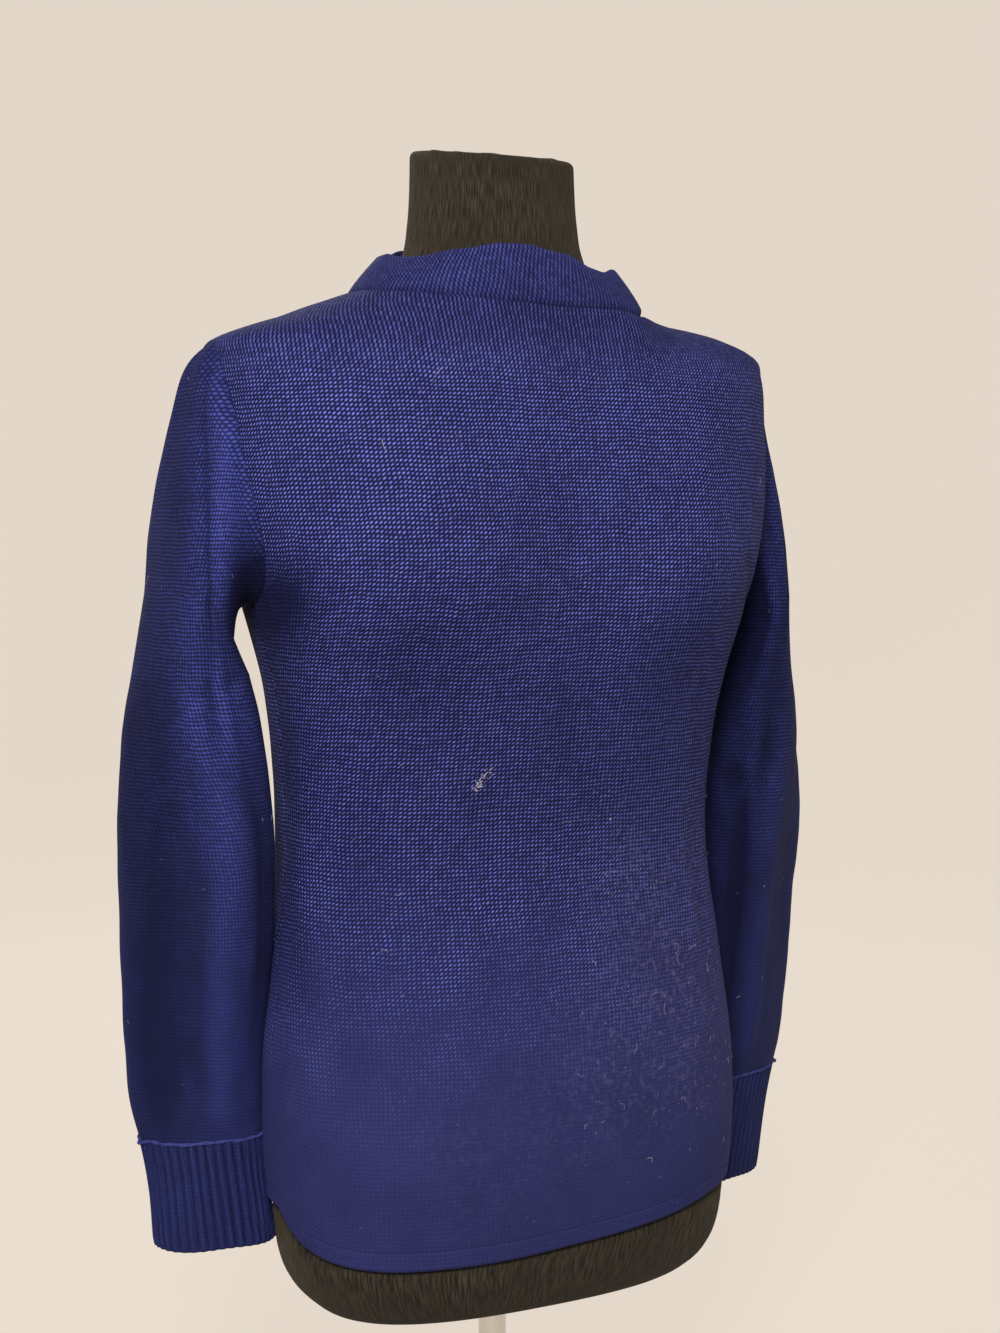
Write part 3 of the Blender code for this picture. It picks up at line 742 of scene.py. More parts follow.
def knit_material(name, dark, light, stitch_size, lean, gaps, unlike, relief, nap):
    """A dyed knit: colour from its stitches and uneven dye, felted smooth where it is napped.

    gaps is how dark the lines between courses and between wales are, and unlike how far the
    stitches differ in lightness. nap gives the heights between which the felting fades out, how
    full it is, and its tone. Each mesh gives the light and shade painted on it at each point: 1 is
    a painted highlight on a fold's ridge, below 0 painted shade in troughs, hollows and places
    shut off from the light.
    """
    material, tree, shader = new_material(
        name, Base_Color=linear(light), Roughness=0.9, Sheen_Weight=0.05,
        Sheen_Roughness=0.5, Sheen_Tint=linear("6a72e0"), Specular_IOR_Level=0.15,
    )
    place = add_node(tree, "UVMap", {}, uv_map="cloth")["UV"]
    spot = add_node(tree, "TexCoord", {})["Object"]
    height = add_node(tree, "SeparateXYZ", {"Vector": spot})["Z"]
    wander = {0: noise(tree, spot, 45.0, 2.0, "Color"), 1: (0.5, 0.5, 0.5)}
    wander = {0: vector_maths(tree, "SUBTRACT", wander), "Scale": WANDER}
    place = vector_maths(tree, "ADD", {0: place, 1: vector_maths(tree, "SCALE", wander)})
    on_shoulder = ramp(tree, height, SHOULDER_FROM_Z, SHOULDER_TO_Z, kind="SMOOTHSTEP")
    row_gap = maths(tree, "MULTIPLY_ADD", on_shoulder, -0.85 * gaps[0], gaps[0])
    leaning = maths(tree, "MULTIPLY_ADD", on_shoulder, -0.6 * lean, lean)
    stitch, cell = stitches(tree, place, *stitch_size, leaning, row_gap, gaps[1])
    lightness = add_node(tree, "TexWhiteNoise", {"Vector": cell}, noise_dimensions="2D")["Value"]
    lightness = maths(tree, "MULTIPLY_ADD", lightness, 2 * unlike, 1 - unlike)
    tone = maths(tree, "MULTIPLY", maths(tree, "MULTIPLY", stitch, stitch), lightness)
    dimmed = maths(tree, "MULTIPLY_ADD", on_shoulder, -SHOULDER_DIM, 1.0)
    tone = maths(tree, "MULTIPLY", tone, dimmed)
    worn = maths(tree, "SUBTRACT", noise(tree, spot, 24.0, 5.0), 0.5)
    nap_to_z, nap_from_z, napped, nap_tone = nap
    level = maths(tree, "MULTIPLY_ADD", worn, 0.14, height)
    clear = ramp(tree, level, nap_to_z, nap_from_z, 1 - napped, 1.0, "SMOOTHSTEP")
    tone = add_node(tree, "Mix", {0: clear, 2: nap_tone, 3: tone}, data_type="FLOAT")[0]
    # The light and shade painted on the mesh, which scales the tone.
    painted_shading = add_node(tree, "Attribute", {}, attribute_name="painted_shading")["Fac"]
    for amount, strength in ((worn, 0.7), (painted_shading, 0.35)):
        tone = maths(tree, "MULTIPLY", tone, maths(tree, "MULTIPLY_ADD", amount, strength, 1.0))
    fluff = ramp(tree, noise(tree, spot, 260.0, 4.0), 0.46, 0.74, 0.05, 0.65, "SMOOTHSTEP")
    linty = add_node(tree, "Attribute", {}, attribute_name="lint")["Fac"]
    bloom = maths(tree, "MULTIPLY", fluff, linty)
    colour = blend(tree, bloom, blend(tree, tone, dark, light), BLOOM_COLOUR)
    tree.links.new(colour, shader.inputs["Base Color"])
    raised = maths(tree, "MULTIPLY", stitch, clear)
    raised = maths(tree, "MULTIPLY_ADD", noise(tree, spot, 1500.0, 2.0), 0.35, raised)
    bumped(tree, shader, raised, relief, 0.0007)
    return material


navy_jersey = knit_material(
    "navy_wool_jersey", "040630", "747be0", (WALE, COURSE), -0.7, (0.72, 0.90), 0.36, 0.8,
    (NAP_TO_Z, NAP_FROM_Z, 0.93, 0.118),
)

# Pale lint has gathered on the front, most of it low on the wearer's left: each row is the middle
# of a linty place at x and z, its reach in metres, and how thick the lint is there.
chance = random.Random(11)
LINT_COLUMNS = ("x", "z", "reach", "strength")
LINTY_PLACES = [
    (0.085, 0.405, 0.05, 0.9), (0.03, 0.345, 0.05, 0.6), (0.11, 0.33, 0.045, 0.6),
    (0.05, 0.46, 0.035, 0.5), (-0.06, 0.3, 0.05, 0.25), (0.12, 0.47, 0.03, 0.6),
]
# Painted shade on the panels: in the hollow under each arm, deeper on the wearer's right, behind
# the arms, and below the bust. Low down, the middle of the back is drawn lighter. Each fold's ridge
# gets a painted highlight and its trough painted shade, full once it is 3 mm deep.
FOLD_SHADING_RISE = 0.0030
PAINTED_SHADING_LIMITS = (-2.5, 1.3)
UNDERARM_HOLLOW = {"z": 0.630, "height": 0.026, "aside": 0.166, "width": 0.012}
HOLLOW_SHADE = {"right": 3.0, "left": 1.6}
BEHIND_ARM = {"aside": (0.142, 0.152), "from_z": (0.35, 0.42), "to_z": (0.60, 0.50), "amount": 1.3}
SHADE_BELOW_BUST = {"z": 0.520, "height": 0.075, "amount": 0.55}
LOW_BACK_LIGHTER = {"z": (0.46, 0.34), "aside": (0.15, 0.10)}


def panel_painted_shading(grid, lift, back):
    """The light and shade painted on a panel at each of its points."""
    x, z = grid[:, :, 0], grid[:, :, 2]
    aside = np.abs(x)
    hollow = hump(
        (z - UNDERARM_HOLLOW["z"]) / UNDERARM_HOLLOW["height"],
        (aside - UNDERARM_HOLLOW["aside"]) / UNDERARM_HOLLOW["width"],
    )
    hollow *= np.where(x < 0, HOLLOW_SHADE["right"], HOLLOW_SHADE["left"])
    behind_arm = eased(aside, *BEHIND_ARM["aside"]) * eased(z, *BEHIND_ARM["from_z"])
    behind_arm *= eased(z, *BEHIND_ARM["to_z"])
    painted_shading = np.clip(lift / FOLD_SHADING_RISE, -1, 1) - hollow - BEHIND_ARM["amount"] * behind_arm
    if back:
        painted_shading += eased(z, *LOW_BACK_LIGHTER["z"]) * eased(aside, *LOW_BACK_LIGHTER["aside"])
    else:
        slack = hump((z - SHADE_BELOW_BUST["z"]) / SHADE_BELOW_BUST["height"])
        painted_shading -= SHADE_BELOW_BUST["amount"] * slack
    return np.clip(painted_shading, *PAINTED_SHADING_LIMITS)


panel_surfaces = {}
for name, back in (("front_panel", False), ("back_panel", True)):
    grid, normals, measures, lift = body_panel(back)
    panel_surfaces[name] = (grid, normals)
    linty = np.zeros(grid.shape[:2])
    for lint in named_rows(LINT_COLUMNS, LINTY_PLACES):
        away = np.hypot(grid[:, :, 0] - lint["x"], grid[:, :, 2] - lint["z"]) / lint["reach"]
        linty += lint["strength"] * hump(away) * (0.15 if back else 1.0)
    amounts = {"lint": np.clip(linty, 0, 1), "painted_shading": panel_painted_shading(grid, lift, back)}
    shape = laid_cloth(grid, measures, closed=False, outside=not back, amounts=amounts)
    panel = add_piece(name, shape, navy_jersey, [name.split("_")[0]])
    thicken(panel, KNIT)

# ================================================================ the sleeves
# Two sleeves in the same jersey, knitted to shape and linked into the armholes. Worn by a form
# with no arms they hang flat and narrow, with a long soft crease down the front of each.
HEAD_BOXY = 2.2
HEAD_COLUMNS = ("ring", "outer_x", "outer_z", "inner_x", "inner_z", "middle_y", "half_width")
HEAD = np.array([
    (0.0, 0.189, 0.792, 0.168, 0.632, 0.002, 0.034),
    (0.2, 0.2005, 0.778, 0.171, 0.630, 0.009, 0.042),
    (0.4, 0.207, 0.750, 0.175, 0.627, 0.014, 0.049),
    (0.6, 0.214, 0.715, 0.179, 0.622, 0.017, 0.054),
    (0.8, 0.219, 0.678, 0.182, 0.614, 0.018, 0.057),
    (1.0, 0.222, 0.640, 0.184, 0.604, 0.018, 0.058),
])
SLEEVE_COLUMNS = ("z", "right_x", "right_y", "left_x", "left_y", "thin", "broad", "turn", "boxy")
SLEEVE = np.array([
    (0.212, 0.1830, 0.030, 0.200, 0.026, 0.014, 0.0380, 66, 2.2),
    (0.289, 0.1923, 0.031, 0.208, 0.018, 0.015, 0.0387, 66, 2.2),
    (0.306, 0.1943, 0.031, 0.209, 0.017, 0.018, 0.0412, 66, 2.2),
    (0.350, 0.1971, 0.028, 0.210, 0.015, 0.022, 0.0434, 66, 2.2),
    (0.410, 0.1985, 0.020, 0.210, 0.012, 0.026, 0.0470, 62, 2.2),
    (0.483, 0.2030, 0.006, 0.208, 0.006, 0.034, 0.0485, 50, 2.2),
    (0.550, 0.2040, 0.008, 0.205, 0.008, 0.034, 0.0500, 20, 2.2),
    (0.600, 0.203, 0.016, 0.203, 0.016, 0.025, 0.0550, 4, 2.3),
    (0.633, 0.203, 0.018, 0.203, 0.018, 0.019, 0.0580, 0, 2.4),
])
SLEEVE_RINGS_START_Z = 0.588
LOW_SIDE = -27
INNER_RISE = {"right": 0.0080, "left": 0.0015}
CUFF_TOP_Z = 0.289
AROUND_SLEEVE = 150
HEAD_RINGS = 64
SLEEVE_RINGS = 120
SLEEVE_ROWS_CROWDING = 0.25
SLEEVE_UNEVEN = {"by": 0.0006, "waves": (0.018, 0.030, 0.050)}
FOLDS_FREE_OF = {"armhole": 0.012, "cuff": 0.02}

# The sleeves' folds: a trough or ridge with its middle at z and at a turn round the ring, in
# degrees from the outer side over the front. lean is how far the turn shifts for each metre up.
# depth is positive in a trough and negative on a ridge. Both sleeves share the large folds.
# A fold's ridge gets a full painted highlight and its trough painted shade once it is 2 mm deep.
SLEEVE_FOLD_SHADING_RISE = 0.0020
SLEEVE_FOLD_COLUMNS = ("z", "turn", "height", "width", "lean", "depth")
SHARED_FOLDS = [
    (0.415, -12, 0.11, 21, 170, 0.0042), (0.48, 42, 0.06, 13, 240, -0.0028),
    (0.35, 26, 0.075, 11, 0, -0.003), (0.45, 68, 0.075, 9, 120, 0.003),
    (0.53, 205, 0.03, 22, 0, 0.0035), (0.44, 150, 0.08, 14, 60, 0.003),
]
SLEEVE_FOLDS = {
    "right": SHARED_FOLDS + [
        (0.735, 44, 0.045, 5, -285, 0.002), (0.668, 65, 0.045, 5, -200, 0.0024),
        (0.62, 71, 0.022, 6, 60, 0.0022), (0.69, 84, 0.075, 15, -180, -0.0032),
        (0.72, 20, 0.09, 20, -120, 0.0015), (0.572, 62, 0.03, 6, 110, 0.0026),
        (0.568, 76, 0.034, 8, 110, -0.0022), (0.586, 92, 0.006, 14, 900, 0.0018),
        (0.56, 44, 0.03, 10, 60, -0.0018), (0.35, 6, 0.05, 7, 0, 0.0012),
        (0.64, 190, 0.03, 20, 0, 0.0022), (0.7, 255, 0.07, 8, 150, 0.0018),
        (0.69, 240, 0.07, 12, 150, -0.0018),
    ],
    "left": SHARED_FOLDS + [
        (0.64, 106, 0.06, 9, 40, -0.002), (0.625, 120, 0.055, 12, 40, 0.0014),
        (0.5, 74, 0.05, 8, 480, -0.0024), (0.508, 98, 0.008, 13, 500, 0.002),
        (0.7, 62, 0.07, 6, -220, 0.0018), (0.69, 78, 0.07, 13, -200, -0.0022),
        (0.4, 58, 0.06, 11, 0, 0.0014), (0.42, 168, 0.06, 16, 0, 0.0022),
        (0.63, 200, 0.03, 18, 0, 0.002), (0.705, 250, 0.07, 8, 150, 0.0018),
    ],
}

# Painted shade on the sleeves: down the outer side, in the underarm, along the inner side where
# they hang against the body and are shut off from the light, and in patches down the front. The
# wearer's left sleeve has it over its whole front and inner side. z, turn, height and width are as
# for the folds, and amount is how dark.
SHADE_COLUMNS = ("z", "turn", "height", "width", "amount")
SHADE_PLACES = {
    "right": [
        (0.450, -38, 1.000, 50, 1.35), (0.530, -52, 0.085, 42, 0.80), (0.590, 148, 0.200, 34, 2.10),
        (0.400, 80, 0.110, 24, 1.90), (0.628, 130, 0.028, 46, 3.60), (0.568, 16, 0.050, 40, 1.20),
        (0.690, 20, 0.060, 40, 0.70),
    ],
    "left": [
        (0.450, 80, 1.000, 80, 2.00), (0.450, 160, 1.000, 40, 1.50), (0.600, 155, 0.038, 42, 2.00),
    ],
}
# How dark the painted shade in a trough may get on the sleeve's lower part, and how much darker on
# its upper part.
TROUGH_SHADE_FLOOR = (-0.7, -0.8)
TROUGH_SHADE_FLOOR_Z = (0.46, 0.56)


def ring_turns(count):
    """The turns, in radians, of that many points round a ring, the last one over the first."""
    return np.linspace(0, 2 * math.pi, count + 1)


def superellipse(turn, boxy):
    """Cosine and sine on a superellipse with half axes of 1."""
    c, s = np.cos(turn), np.sin(turn)
    size = (np.abs(c) ** boxy + np.abs(s) ** boxy) ** (-1 / boxy)
    return (c * size)[:, None], (s * size)[:, None]


def armhole_ring(side, count):
    """The armhole's seam line, drawn on the wearer's right, just off the panels."""
    share = 1.0 if side == "left" else 0.0
    ring = []
    for turn in ring_turns(count):
        back = turn > math.pi
        half_turn = 2 * math.pi - turn if back else turn
        z = armhole_z(half_turn)
        z = z - edge_drop(z, back, share)
        cut = float(armhole_cut(half_turn, back))
        step = 0.002
        (here, along), below, above = (
            body_points(z + dz, back, 0.0 * np.ones(n), cut + np.arange(n) * step)[0]
            for dz, n in ((0, 2), (-step, 1), (step, 1))
        )
        normal = np.cross(along - here, above[0] - below[0])
        normal *= (-1 if back else 1) / np.linalg.norm(normal)
        ring.append(here + SEAM_GAP * normal)
    return np.array(ring)


def head_ring(share, count):
    """A ring of the sleeve's head; share is 0 at the armhole and 1 at the lowest ring."""
    row = row_at(HEAD, HEAD_COLUMNS, share)
    outer = np.array([-row["outer_x"], row["middle_y"], row["outer_z"]])
    inner = np.array([-row["inner_x"], row["middle_y"], row["inner_z"]])
    front = np.array([0, -row["half_width"], 0])
    c, s = superellipse(ring_turns(count), HEAD_BOXY)
    return (outer + inner) / 2 + (outer - inner) / 2 * c + front * s


def level_ring(z, side, count):
    """A level ring of a sleeve or cuff, drawn on the wearer's right, without its folds."""
    row = row_at(SLEEVE, SLEEVE_COLUMNS, z)
    angle = math.radians(row["turn"])
    outward = np.array([-math.cos(angle), -math.sin(angle), 0])
    forward = np.array([math.sin(angle), -math.cos(angle), 0])
    middle = np.array([-row[side + "_x"], row[side + "_y"], z])
    turns = ring_turns(count)
    c, s = superellipse(turns, row["boxy"])
    ring = middle + outward * c * row["thin"] + forward * s * row["broad"]
    inner = (1 - np.cos(turns - math.radians(LOW_SIDE))) / 2
    ring[:, 2] += INNER_RISE[side] * eased(z, 0.380, 0.235) * inner
    return ring


def on_side(points, side):
    """Points or directions drawn for the wearer's right, moved to the left for a left piece."""
    return points * np.array([-1 if side == "left" else 1, 1, 1])


def sleeve_rings(side):
    """All rings of a sleeve without its folds, from the armhole to the cuff."""
    armhole = armhole_ring(side, AROUND_SLEEVE)
    error = armhole - head_ring(0, AROUND_SLEEVE)
    rings = []
    for share in np.linspace(0, 1, HEAD_RINGS + 1) ** 1.5:
        rings.append(head_ring(share, AROUND_SLEEVE) + error * (1 - share) ** 2)
    down = np.linspace(0, 1, SLEEVE_RINGS)
    down = (1 + SLEEVE_ROWS_CROWDING) * down - SLEEVE_ROWS_CROWDING * down**2
    for z in SLEEVE_RINGS_START_Z + (CUFF_TOP_Z - SLEEVE_RINGS_START_Z) * down:
        rings.append(level_ring(z, side, AROUND_SLEEVE))
    return np.array(rings)


def around_and_along(place, turns, heights, lean=0):
    """How far points are from a place on a sleeve, in its widths and heights."""
    centre = place["turn"] + lean * (heights - place["z"])
    return turned_from(turns, centre) / place["width"], (heights - place["z"]) / place["height"]


def sleeve(side):
    """A sleeve's points pressed into its folds, their normals, and the light and shade painted on
    them.
    """
    rings = sleeve_rings(side)
    turns = np.degrees(ring_turns(AROUND_SLEEVE))[None, :]
    heights = rings[:, :, 2]
    drawn_in = -SLEEVE_UNEVEN["by"] * unevenness(rings, SLEEVE_UNEVEN["waves"])
    for fold in named_rows(SLEEVE_FOLD_COLUMNS, SLEEVE_FOLDS[side]):
        around, along = around_and_along(fold, turns, heights, fold["lean"])
        drawn_in = drawn_in + fold["depth"] * hump(along, around)
    down = running(np.linalg.norm(np.diff(rings, axis=0), axis=2))
    drawn_in *= np.clip(down / FOLDS_FREE_OF["armhole"], 0, 1)
    drawn_in *= np.clip((heights - CUFF_TOP_Z) / FOLDS_FREE_OF["cuff"], 0, 1)
    drawn_in += SEAM_ROLL * hump(down / SEAM_ROLL_WIDTH)
    normals = outward_normals(rings, closed=True)
    darkest_shade = TROUGH_SHADE_FLOOR[0] + TROUGH_SHADE_FLOOR[1] * eased(heights, *TROUGH_SHADE_FLOOR_Z)
    painted_shading = np.maximum(np.minimum(-drawn_in / SLEEVE_FOLD_SHADING_RISE, 1.0), darkest_shade)
    for shade_place in named_rows(SHADE_COLUMNS, SHADE_PLACES[side]):
        around, along = around_and_along(shade_place, turns, heights)
        painted_shading = painted_shading - shade_place["amount"] * hump(along, around)
    return rings - normals * drawn_in[:, :, None], normals, np.clip(painted_shading, *PAINTED_SHADING_LIMITS)


# The sleeves' jersey hangs slack, so its courses close up into fine level lines. It is drawn
# darker than the cloth that is stretched over the form.
slack_jersey = knit_material(
    "slack_navy_wool_jersey", "020422", "4750a6", (0.0024, 0.0024), -0.5, (0.56, 0.50), 0.28,
    0.7, (0.38, 0.60, 0.80, 0.225),
)
sleeve_surfaces = {}
for side in ("right", "left"):
    rings, normals, painted_shading = sleeve(side)
    rings, normals = on_side(rings, side), on_side(normals, side)
    sleeve_surfaces[side] = (rings, normals)
    measures = ring_measures(rings)
    measures[:, :, 1] = -rings[:, :, 2]
    shape = laid_cloth(
        rings, measures, closed=True, outside=side == "left", amounts={"painted_shading": painted_shading}
    )
    tube = add_piece(
        "sleeve_" + side + "_cloth", shape, slack_jersey, ["sleeve_" + side]
    )
    thicken(tube, KNIT)

# ================================================================ the cuffs
# A tube of two-by-two rib on each sleeve, 7 cm deep, in the same yarn. The rib draws together and
# is drawn darker, and it is linked to the sleeve with a small raised ridge that ends in an ear.
CUFF_KNIT = 0.0018
RIBS = 40
POINTS_PER_RIB = 8
CUFF_RINGS = 44
RIB_DEPTH = 0.0009
CUFF_START_Z = CUFF_TOP_Z + 0.0006
CUFF_END_PINCH = 0.003
RIDGE_RADIUS = 0.0012
RIDGE_AROUND = 8
RIDGE_STEPS = 200
EAR_TURN = 298
EAR_WIDTH = 6
EAR_LENGTH = 0.0030
INNER_SHADE = {"turn": 1.8, "width": 0.65, "amount": 1.3}


def outward_from_middle(ring):
    """The level directions from the middle of a closed ring to its points."""
    away = ring - ring[:-1].mean(axis=0)
    return away / np.linalg.norm(away, axis=1)[:, None]


def cuff(side):
    """A ribbed tube from the sleeve's end down to the cuff's open end."""
    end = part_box("cuff_" + side)[0][2]
    count = RIBS * POINTS_PER_RIB
    turns = ring_turns(count)
    shaded = hump((turns - INNER_SHADE["turn"]) / INNER_SHADE["width"])
    rings, rib_shading = [], []
    for z in np.linspace(CUFF_START_Z, end, CUFF_RINGS):
        down = (CUFF_START_Z - z) / (CUFF_START_Z - end)
        ring = level_ring(z, side, count)
        swing = 0.5 * np.sin(5 * turns) + 0.35 * np.sin(3 * turns + 2.5 * down)
        phase = np.cos(RIBS * turns + swing)
        deep = 0.70 + 0.30 * np.sin(7 * turns + 1.3) * np.cos(4 * turns + 2.0 * down)
        rib = RIB_DEPTH * deep * np.sign(phase) * np.abs(phase) ** 0.7
        near_end = hump((z - end) / CUFF_END_PINCH) + hump((z - CUFF_TOP_Z) / CUFF_END_PINCH)
        slack = 0.0010 * np.sin(2 * turns + 3 * down) * down
        rings.append(ring + outward_from_middle(ring) * (rib * (1 - 0.5 * near_end) + slack)[:, None])
        # Painted shade in the rib's valleys and a painted highlight on its ridges, weaker near the
        # ends, and painted shade on the side towards the form.
        tone = (1.5 * rib / RIB_DEPTH - 0.8) * (1 - 0.4 * near_end)
        rib_shading.append(tone - INNER_SHADE["amount"] * shaded)
    rings = np.array(rings)
    rings[:, :, 2] += 0.0006 * np.sin(4 * turns + 0.6) * np.linspace(0, 1, CUFF_RINGS)[:, None]
    rings = on_side(rings, side)
    return laid_cloth(
        rings, ring_measures(rings), closed=True, outside=side == "left",
        amounts={"painted_shading": np.array(rib_shading)},
    )


def linking_ridge(side):
    """A fine round cord of cloth round the top of the cuff, slightly wavy, with its ear."""
    turns = ring_turns(RIDGE_STEPS)
    path = level_ring(CUFF_TOP_Z + 0.0004, side, RIDGE_STEPS)
    away = outward_from_middle(path)
    ear = hump(turned_from(np.degrees(turns), EAR_TURN) / EAR_WIDTH)
    path = path + away * (0.0009 + EAR_LENGTH * ear)[:, None]
    path[:, 2] += 0.0004 * np.sin(5 * turns) + 0.0002 * np.sin(15 * turns + 1) - 0.0012 * ear
    size = RIDGE_RADIUS * (1 + 0.15 * np.sin(23 * turns))[:, None]
    rows = []
    for step in ring_turns(RIDGE_AROUND):
        rows.append(path + size * (away * math.cos(step) + np.array([0, 0, 1]) * math.sin(step)))
    rows = on_side(np.array(rows), side)
    shape = laid_cloth(rows, ring_measures(rows), closed=True)
    bmesh.ops.recalc_face_normals(shape, faces=shape.faces)
    return shape


# The rib's valleys get painted shade and its ridges a painted highlight from each cuff's mesh, and
# its yarn lies closer than the jersey's.
navy_rib = knit_material(
    "navy_wool_rib", "030526", "282f68", (0.0022, 0.0026), -0.3, (0.12, 0.25), 0.10, 0.5,
    (0.20, 0.21, 0.0, 0.40),
)
# The ridge is raised and pulled tight; its yarn is drawn lighter than the rib, a painted highlight
# along the ridge.
highlit_linking_yarn = knit_material(
    "navy_wool_linking", "0a0d3a", "4f57a6", (0.0012, 0.0015), 0.0, (0.3, 0.4), 0.30, 0.9,
    (0.20, 0.21, 0.0, 0.40),
)
for side in ("right", "left"):
    tube = add_piece("cuff_" + side + "_rib", cuff(side), navy_rib, ["cuff_" + side])
    thicken(tube, CUFF_KNIT)
    add_piece("cuff_" + side + "_linking", linking_ridge(side), highlit_linking_yarn)

# ================================================================ the collar
# A short stand-up collar, a band of the same jersey folded double with the fold at the top. It is
# linked to the neckline and leans in slightly; a soft crease runs round its foot.
RIM_HALF_WIDTH = 0.0795
RIM_FRONT_Y = -0.081
RIM_BACK_Y = 0.0635
RIM_COLUMNS = ("turn", "height", "reach")
RIM = np.array([
    (-60, 0.8605, 0.97), (-45, 0.8565, 0.95), (-30, 0.853, 0.95), (-12, 0.8505, 0.96),
    (0, 0.8495, 0.97), (15, 0.8465, 1.0), (27, 0.8448, 1.0), (36, 0.8455, 1.0), (53, 0.8485, 1.0),
    (67, 0.85, 1.0), (84, 0.8485, 1.0), (100, 0.844, 1.0), (113, 0.8395, 1.0), (125, 0.8385, 1.0),
    (138, 0.8412, 1.01), (150, 0.8395, 1.01), (165, 0.835, 1.0), (180, 0.833, 1.0),
    (200, 0.8345, 1.0), (220, 0.841, 1.0), (240, 0.849, 1.0), (270, 0.856, 0.99),
    (300, 0.8605, 0.97), (315, 0.8565, 0.95), (330, 0.853, 0.95), (348, 0.8505, 0.96),
    (360, 0.8495, 0.97),
])
COLLAR_THICKNESS = 0.0030
AROUND_COLLAR = 240
COLLAR_RISE_STEPS = 24
RIM_STEPS = 8
FOOT_PINCH = 0.0035
RIM_HIGHLIGHT_REACH = 0.0020
FOOT_CREASE_COLUMNS = ("turn", "width", "depth")
FOOT_CREASES = [
    (60, 60, 0.0006), (145, 22, 0.0026), (30, 16, 0.0010), (235, 40, 0.0016), (310, 30, 0.0012),
]


def neckline():
    """The neckline, from the wearer's right over the front to the left and round the back."""
    shares = np.linspace(0, 1, AROUND_COLLAR // 2 + 1)
    halves = []
    for back, order in ((False, shares), (True, shares[::-1])):
        z = NECK_POINT_Z - edge_drop(NECK_POINT_Z, back, order)
        halves.append(body_points(z, back, order)[0])
    return np.concatenate([halves[0][:-1], halves[1]])


def collar_rim():
    """The collar's top, whose height runs smoothly through the table."""
    turn = ring_turns(AROUND_COLLAR)
    deep = np.where(np.sin(turn) > 0, -RIM_FRONT_Y, RIM_BACK_Y)
    z = smooth_value(RIM, RIM_COLUMNS, "height", np.degrees(turn))
    z = z + 0.0004 * np.sin(11 * turn + 0.7) + 0.0003 * np.sin(19 * turn)
    reach = smooth_value(RIM, RIM_COLUMNS, "reach", np.degrees(turn))
    x = -RIM_HALF_WIDTH * reach * np.cos(turn)
    return np.stack([x, -deep * reach * np.sin(turn), z], axis=1)


def collar_band():
    """The doubled band: up its outer face, over the fold and down its inner face."""
    foot, rim = neckline(), collar_rim()
    rise = rim - foot
    outward = np.stack([rim[:, 0], rim[:, 1], np.zeros(len(rim))], axis=1)
    outward /= np.linalg.norm(outward, axis=1)[:, None]
    tall = np.linalg.norm(rise, axis=1)
    up = rise / tall[:, None]
    turn = np.degrees(ring_turns(AROUND_COLLAR))
    crease = np.zeros(len(turn))
    for fold in named_rows(FOOT_CREASE_COLUMNS, FOOT_CREASES):
        crease += fold["depth"] * hump(turned_from(turn, fold["turn"]) / fold["width"])
    wave = unevenness(rim, (0.025, 0.045))
    half = COLLAR_THICKNESS / 2
    rings, painted_shading = [], []
    for share in np.linspace(0, 1, COLLAR_RISE_STEPS) ** 1.4:
        pinch = hump(share * tall / FOOT_PINCH)
        roll = SEAM_ROLL * hump(share * tall / SEAM_ROLL_WIDTH)
        belly = 0.0010 * math.sin(math.pi * share) + 0.0008 * wave * math.sin(math.pi * share)
        proud = half + belly - crease * pinch - roll
        rings.append(foot + rise * share + outward * proud[:, None])
        # A painted highlight along the fold at the band's top, and painted shade in the crease at its
        # foot.
        edge = hump((1 - share) * tall / RIM_HIGHLIGHT_REACH)
        painted_shading.append(0.5 * edge - (0.8 + 500 * crease) * pinch)
    for step in np.linspace(0, math.pi, RIM_STEPS + 2)[1:-1]:
        rings.append(rim + outward * half * math.cos(step) + up * half * math.sin(step))
    for share in np.linspace(1, 0, COLLAR_RISE_STEPS):
        rings.append(foot + rise * share - outward * half)
    rings.append(rings[0])
    # The fold itself carries the painted highlight; the inner face has none.
    painted_shading += [0.5 + 0 * tall] * RIM_STEPS + [0 * tall] * COLLAR_RISE_STEPS + [painted_shading[0]]
    return np.array(rings), np.clip(painted_shading, -2.2, 1)


# The band is knitted the other way up, so the painted highlight falls on the other legs of its
# stitches.
collar_jersey = knit_material(
    "navy_wool_jersey_band", "040630", "6b73d6", (WALE, COURSE), 0.9, (0.6, 0.75), 0.30, 0.8,
    (0.20, 0.21, 0.0, 0.25),
)
rings, painted_shading = collar_band()
shape = laid_cloth(rings, ring_measures(rings), closed=True, amounts={"painted_shading": painted_shading})
collar = add_piece("collar_band", shape, collar_jersey, ["collar"])

# ================================================================ the lint
# Pale loose fibres and a few longer hairs that cling to the worn cloth, thick in the linty places
# and thin elsewhere, with a small fluffy pull on the belly. Each is a fine bent tube lying on it.
FIBRE_SIDES = 3
FIBRE_BENDS = 6
FIBRE_LIFT = 0.0012
END_TAPER = 0.35
MEAN_EXTRA_LENGTH = 0.0016


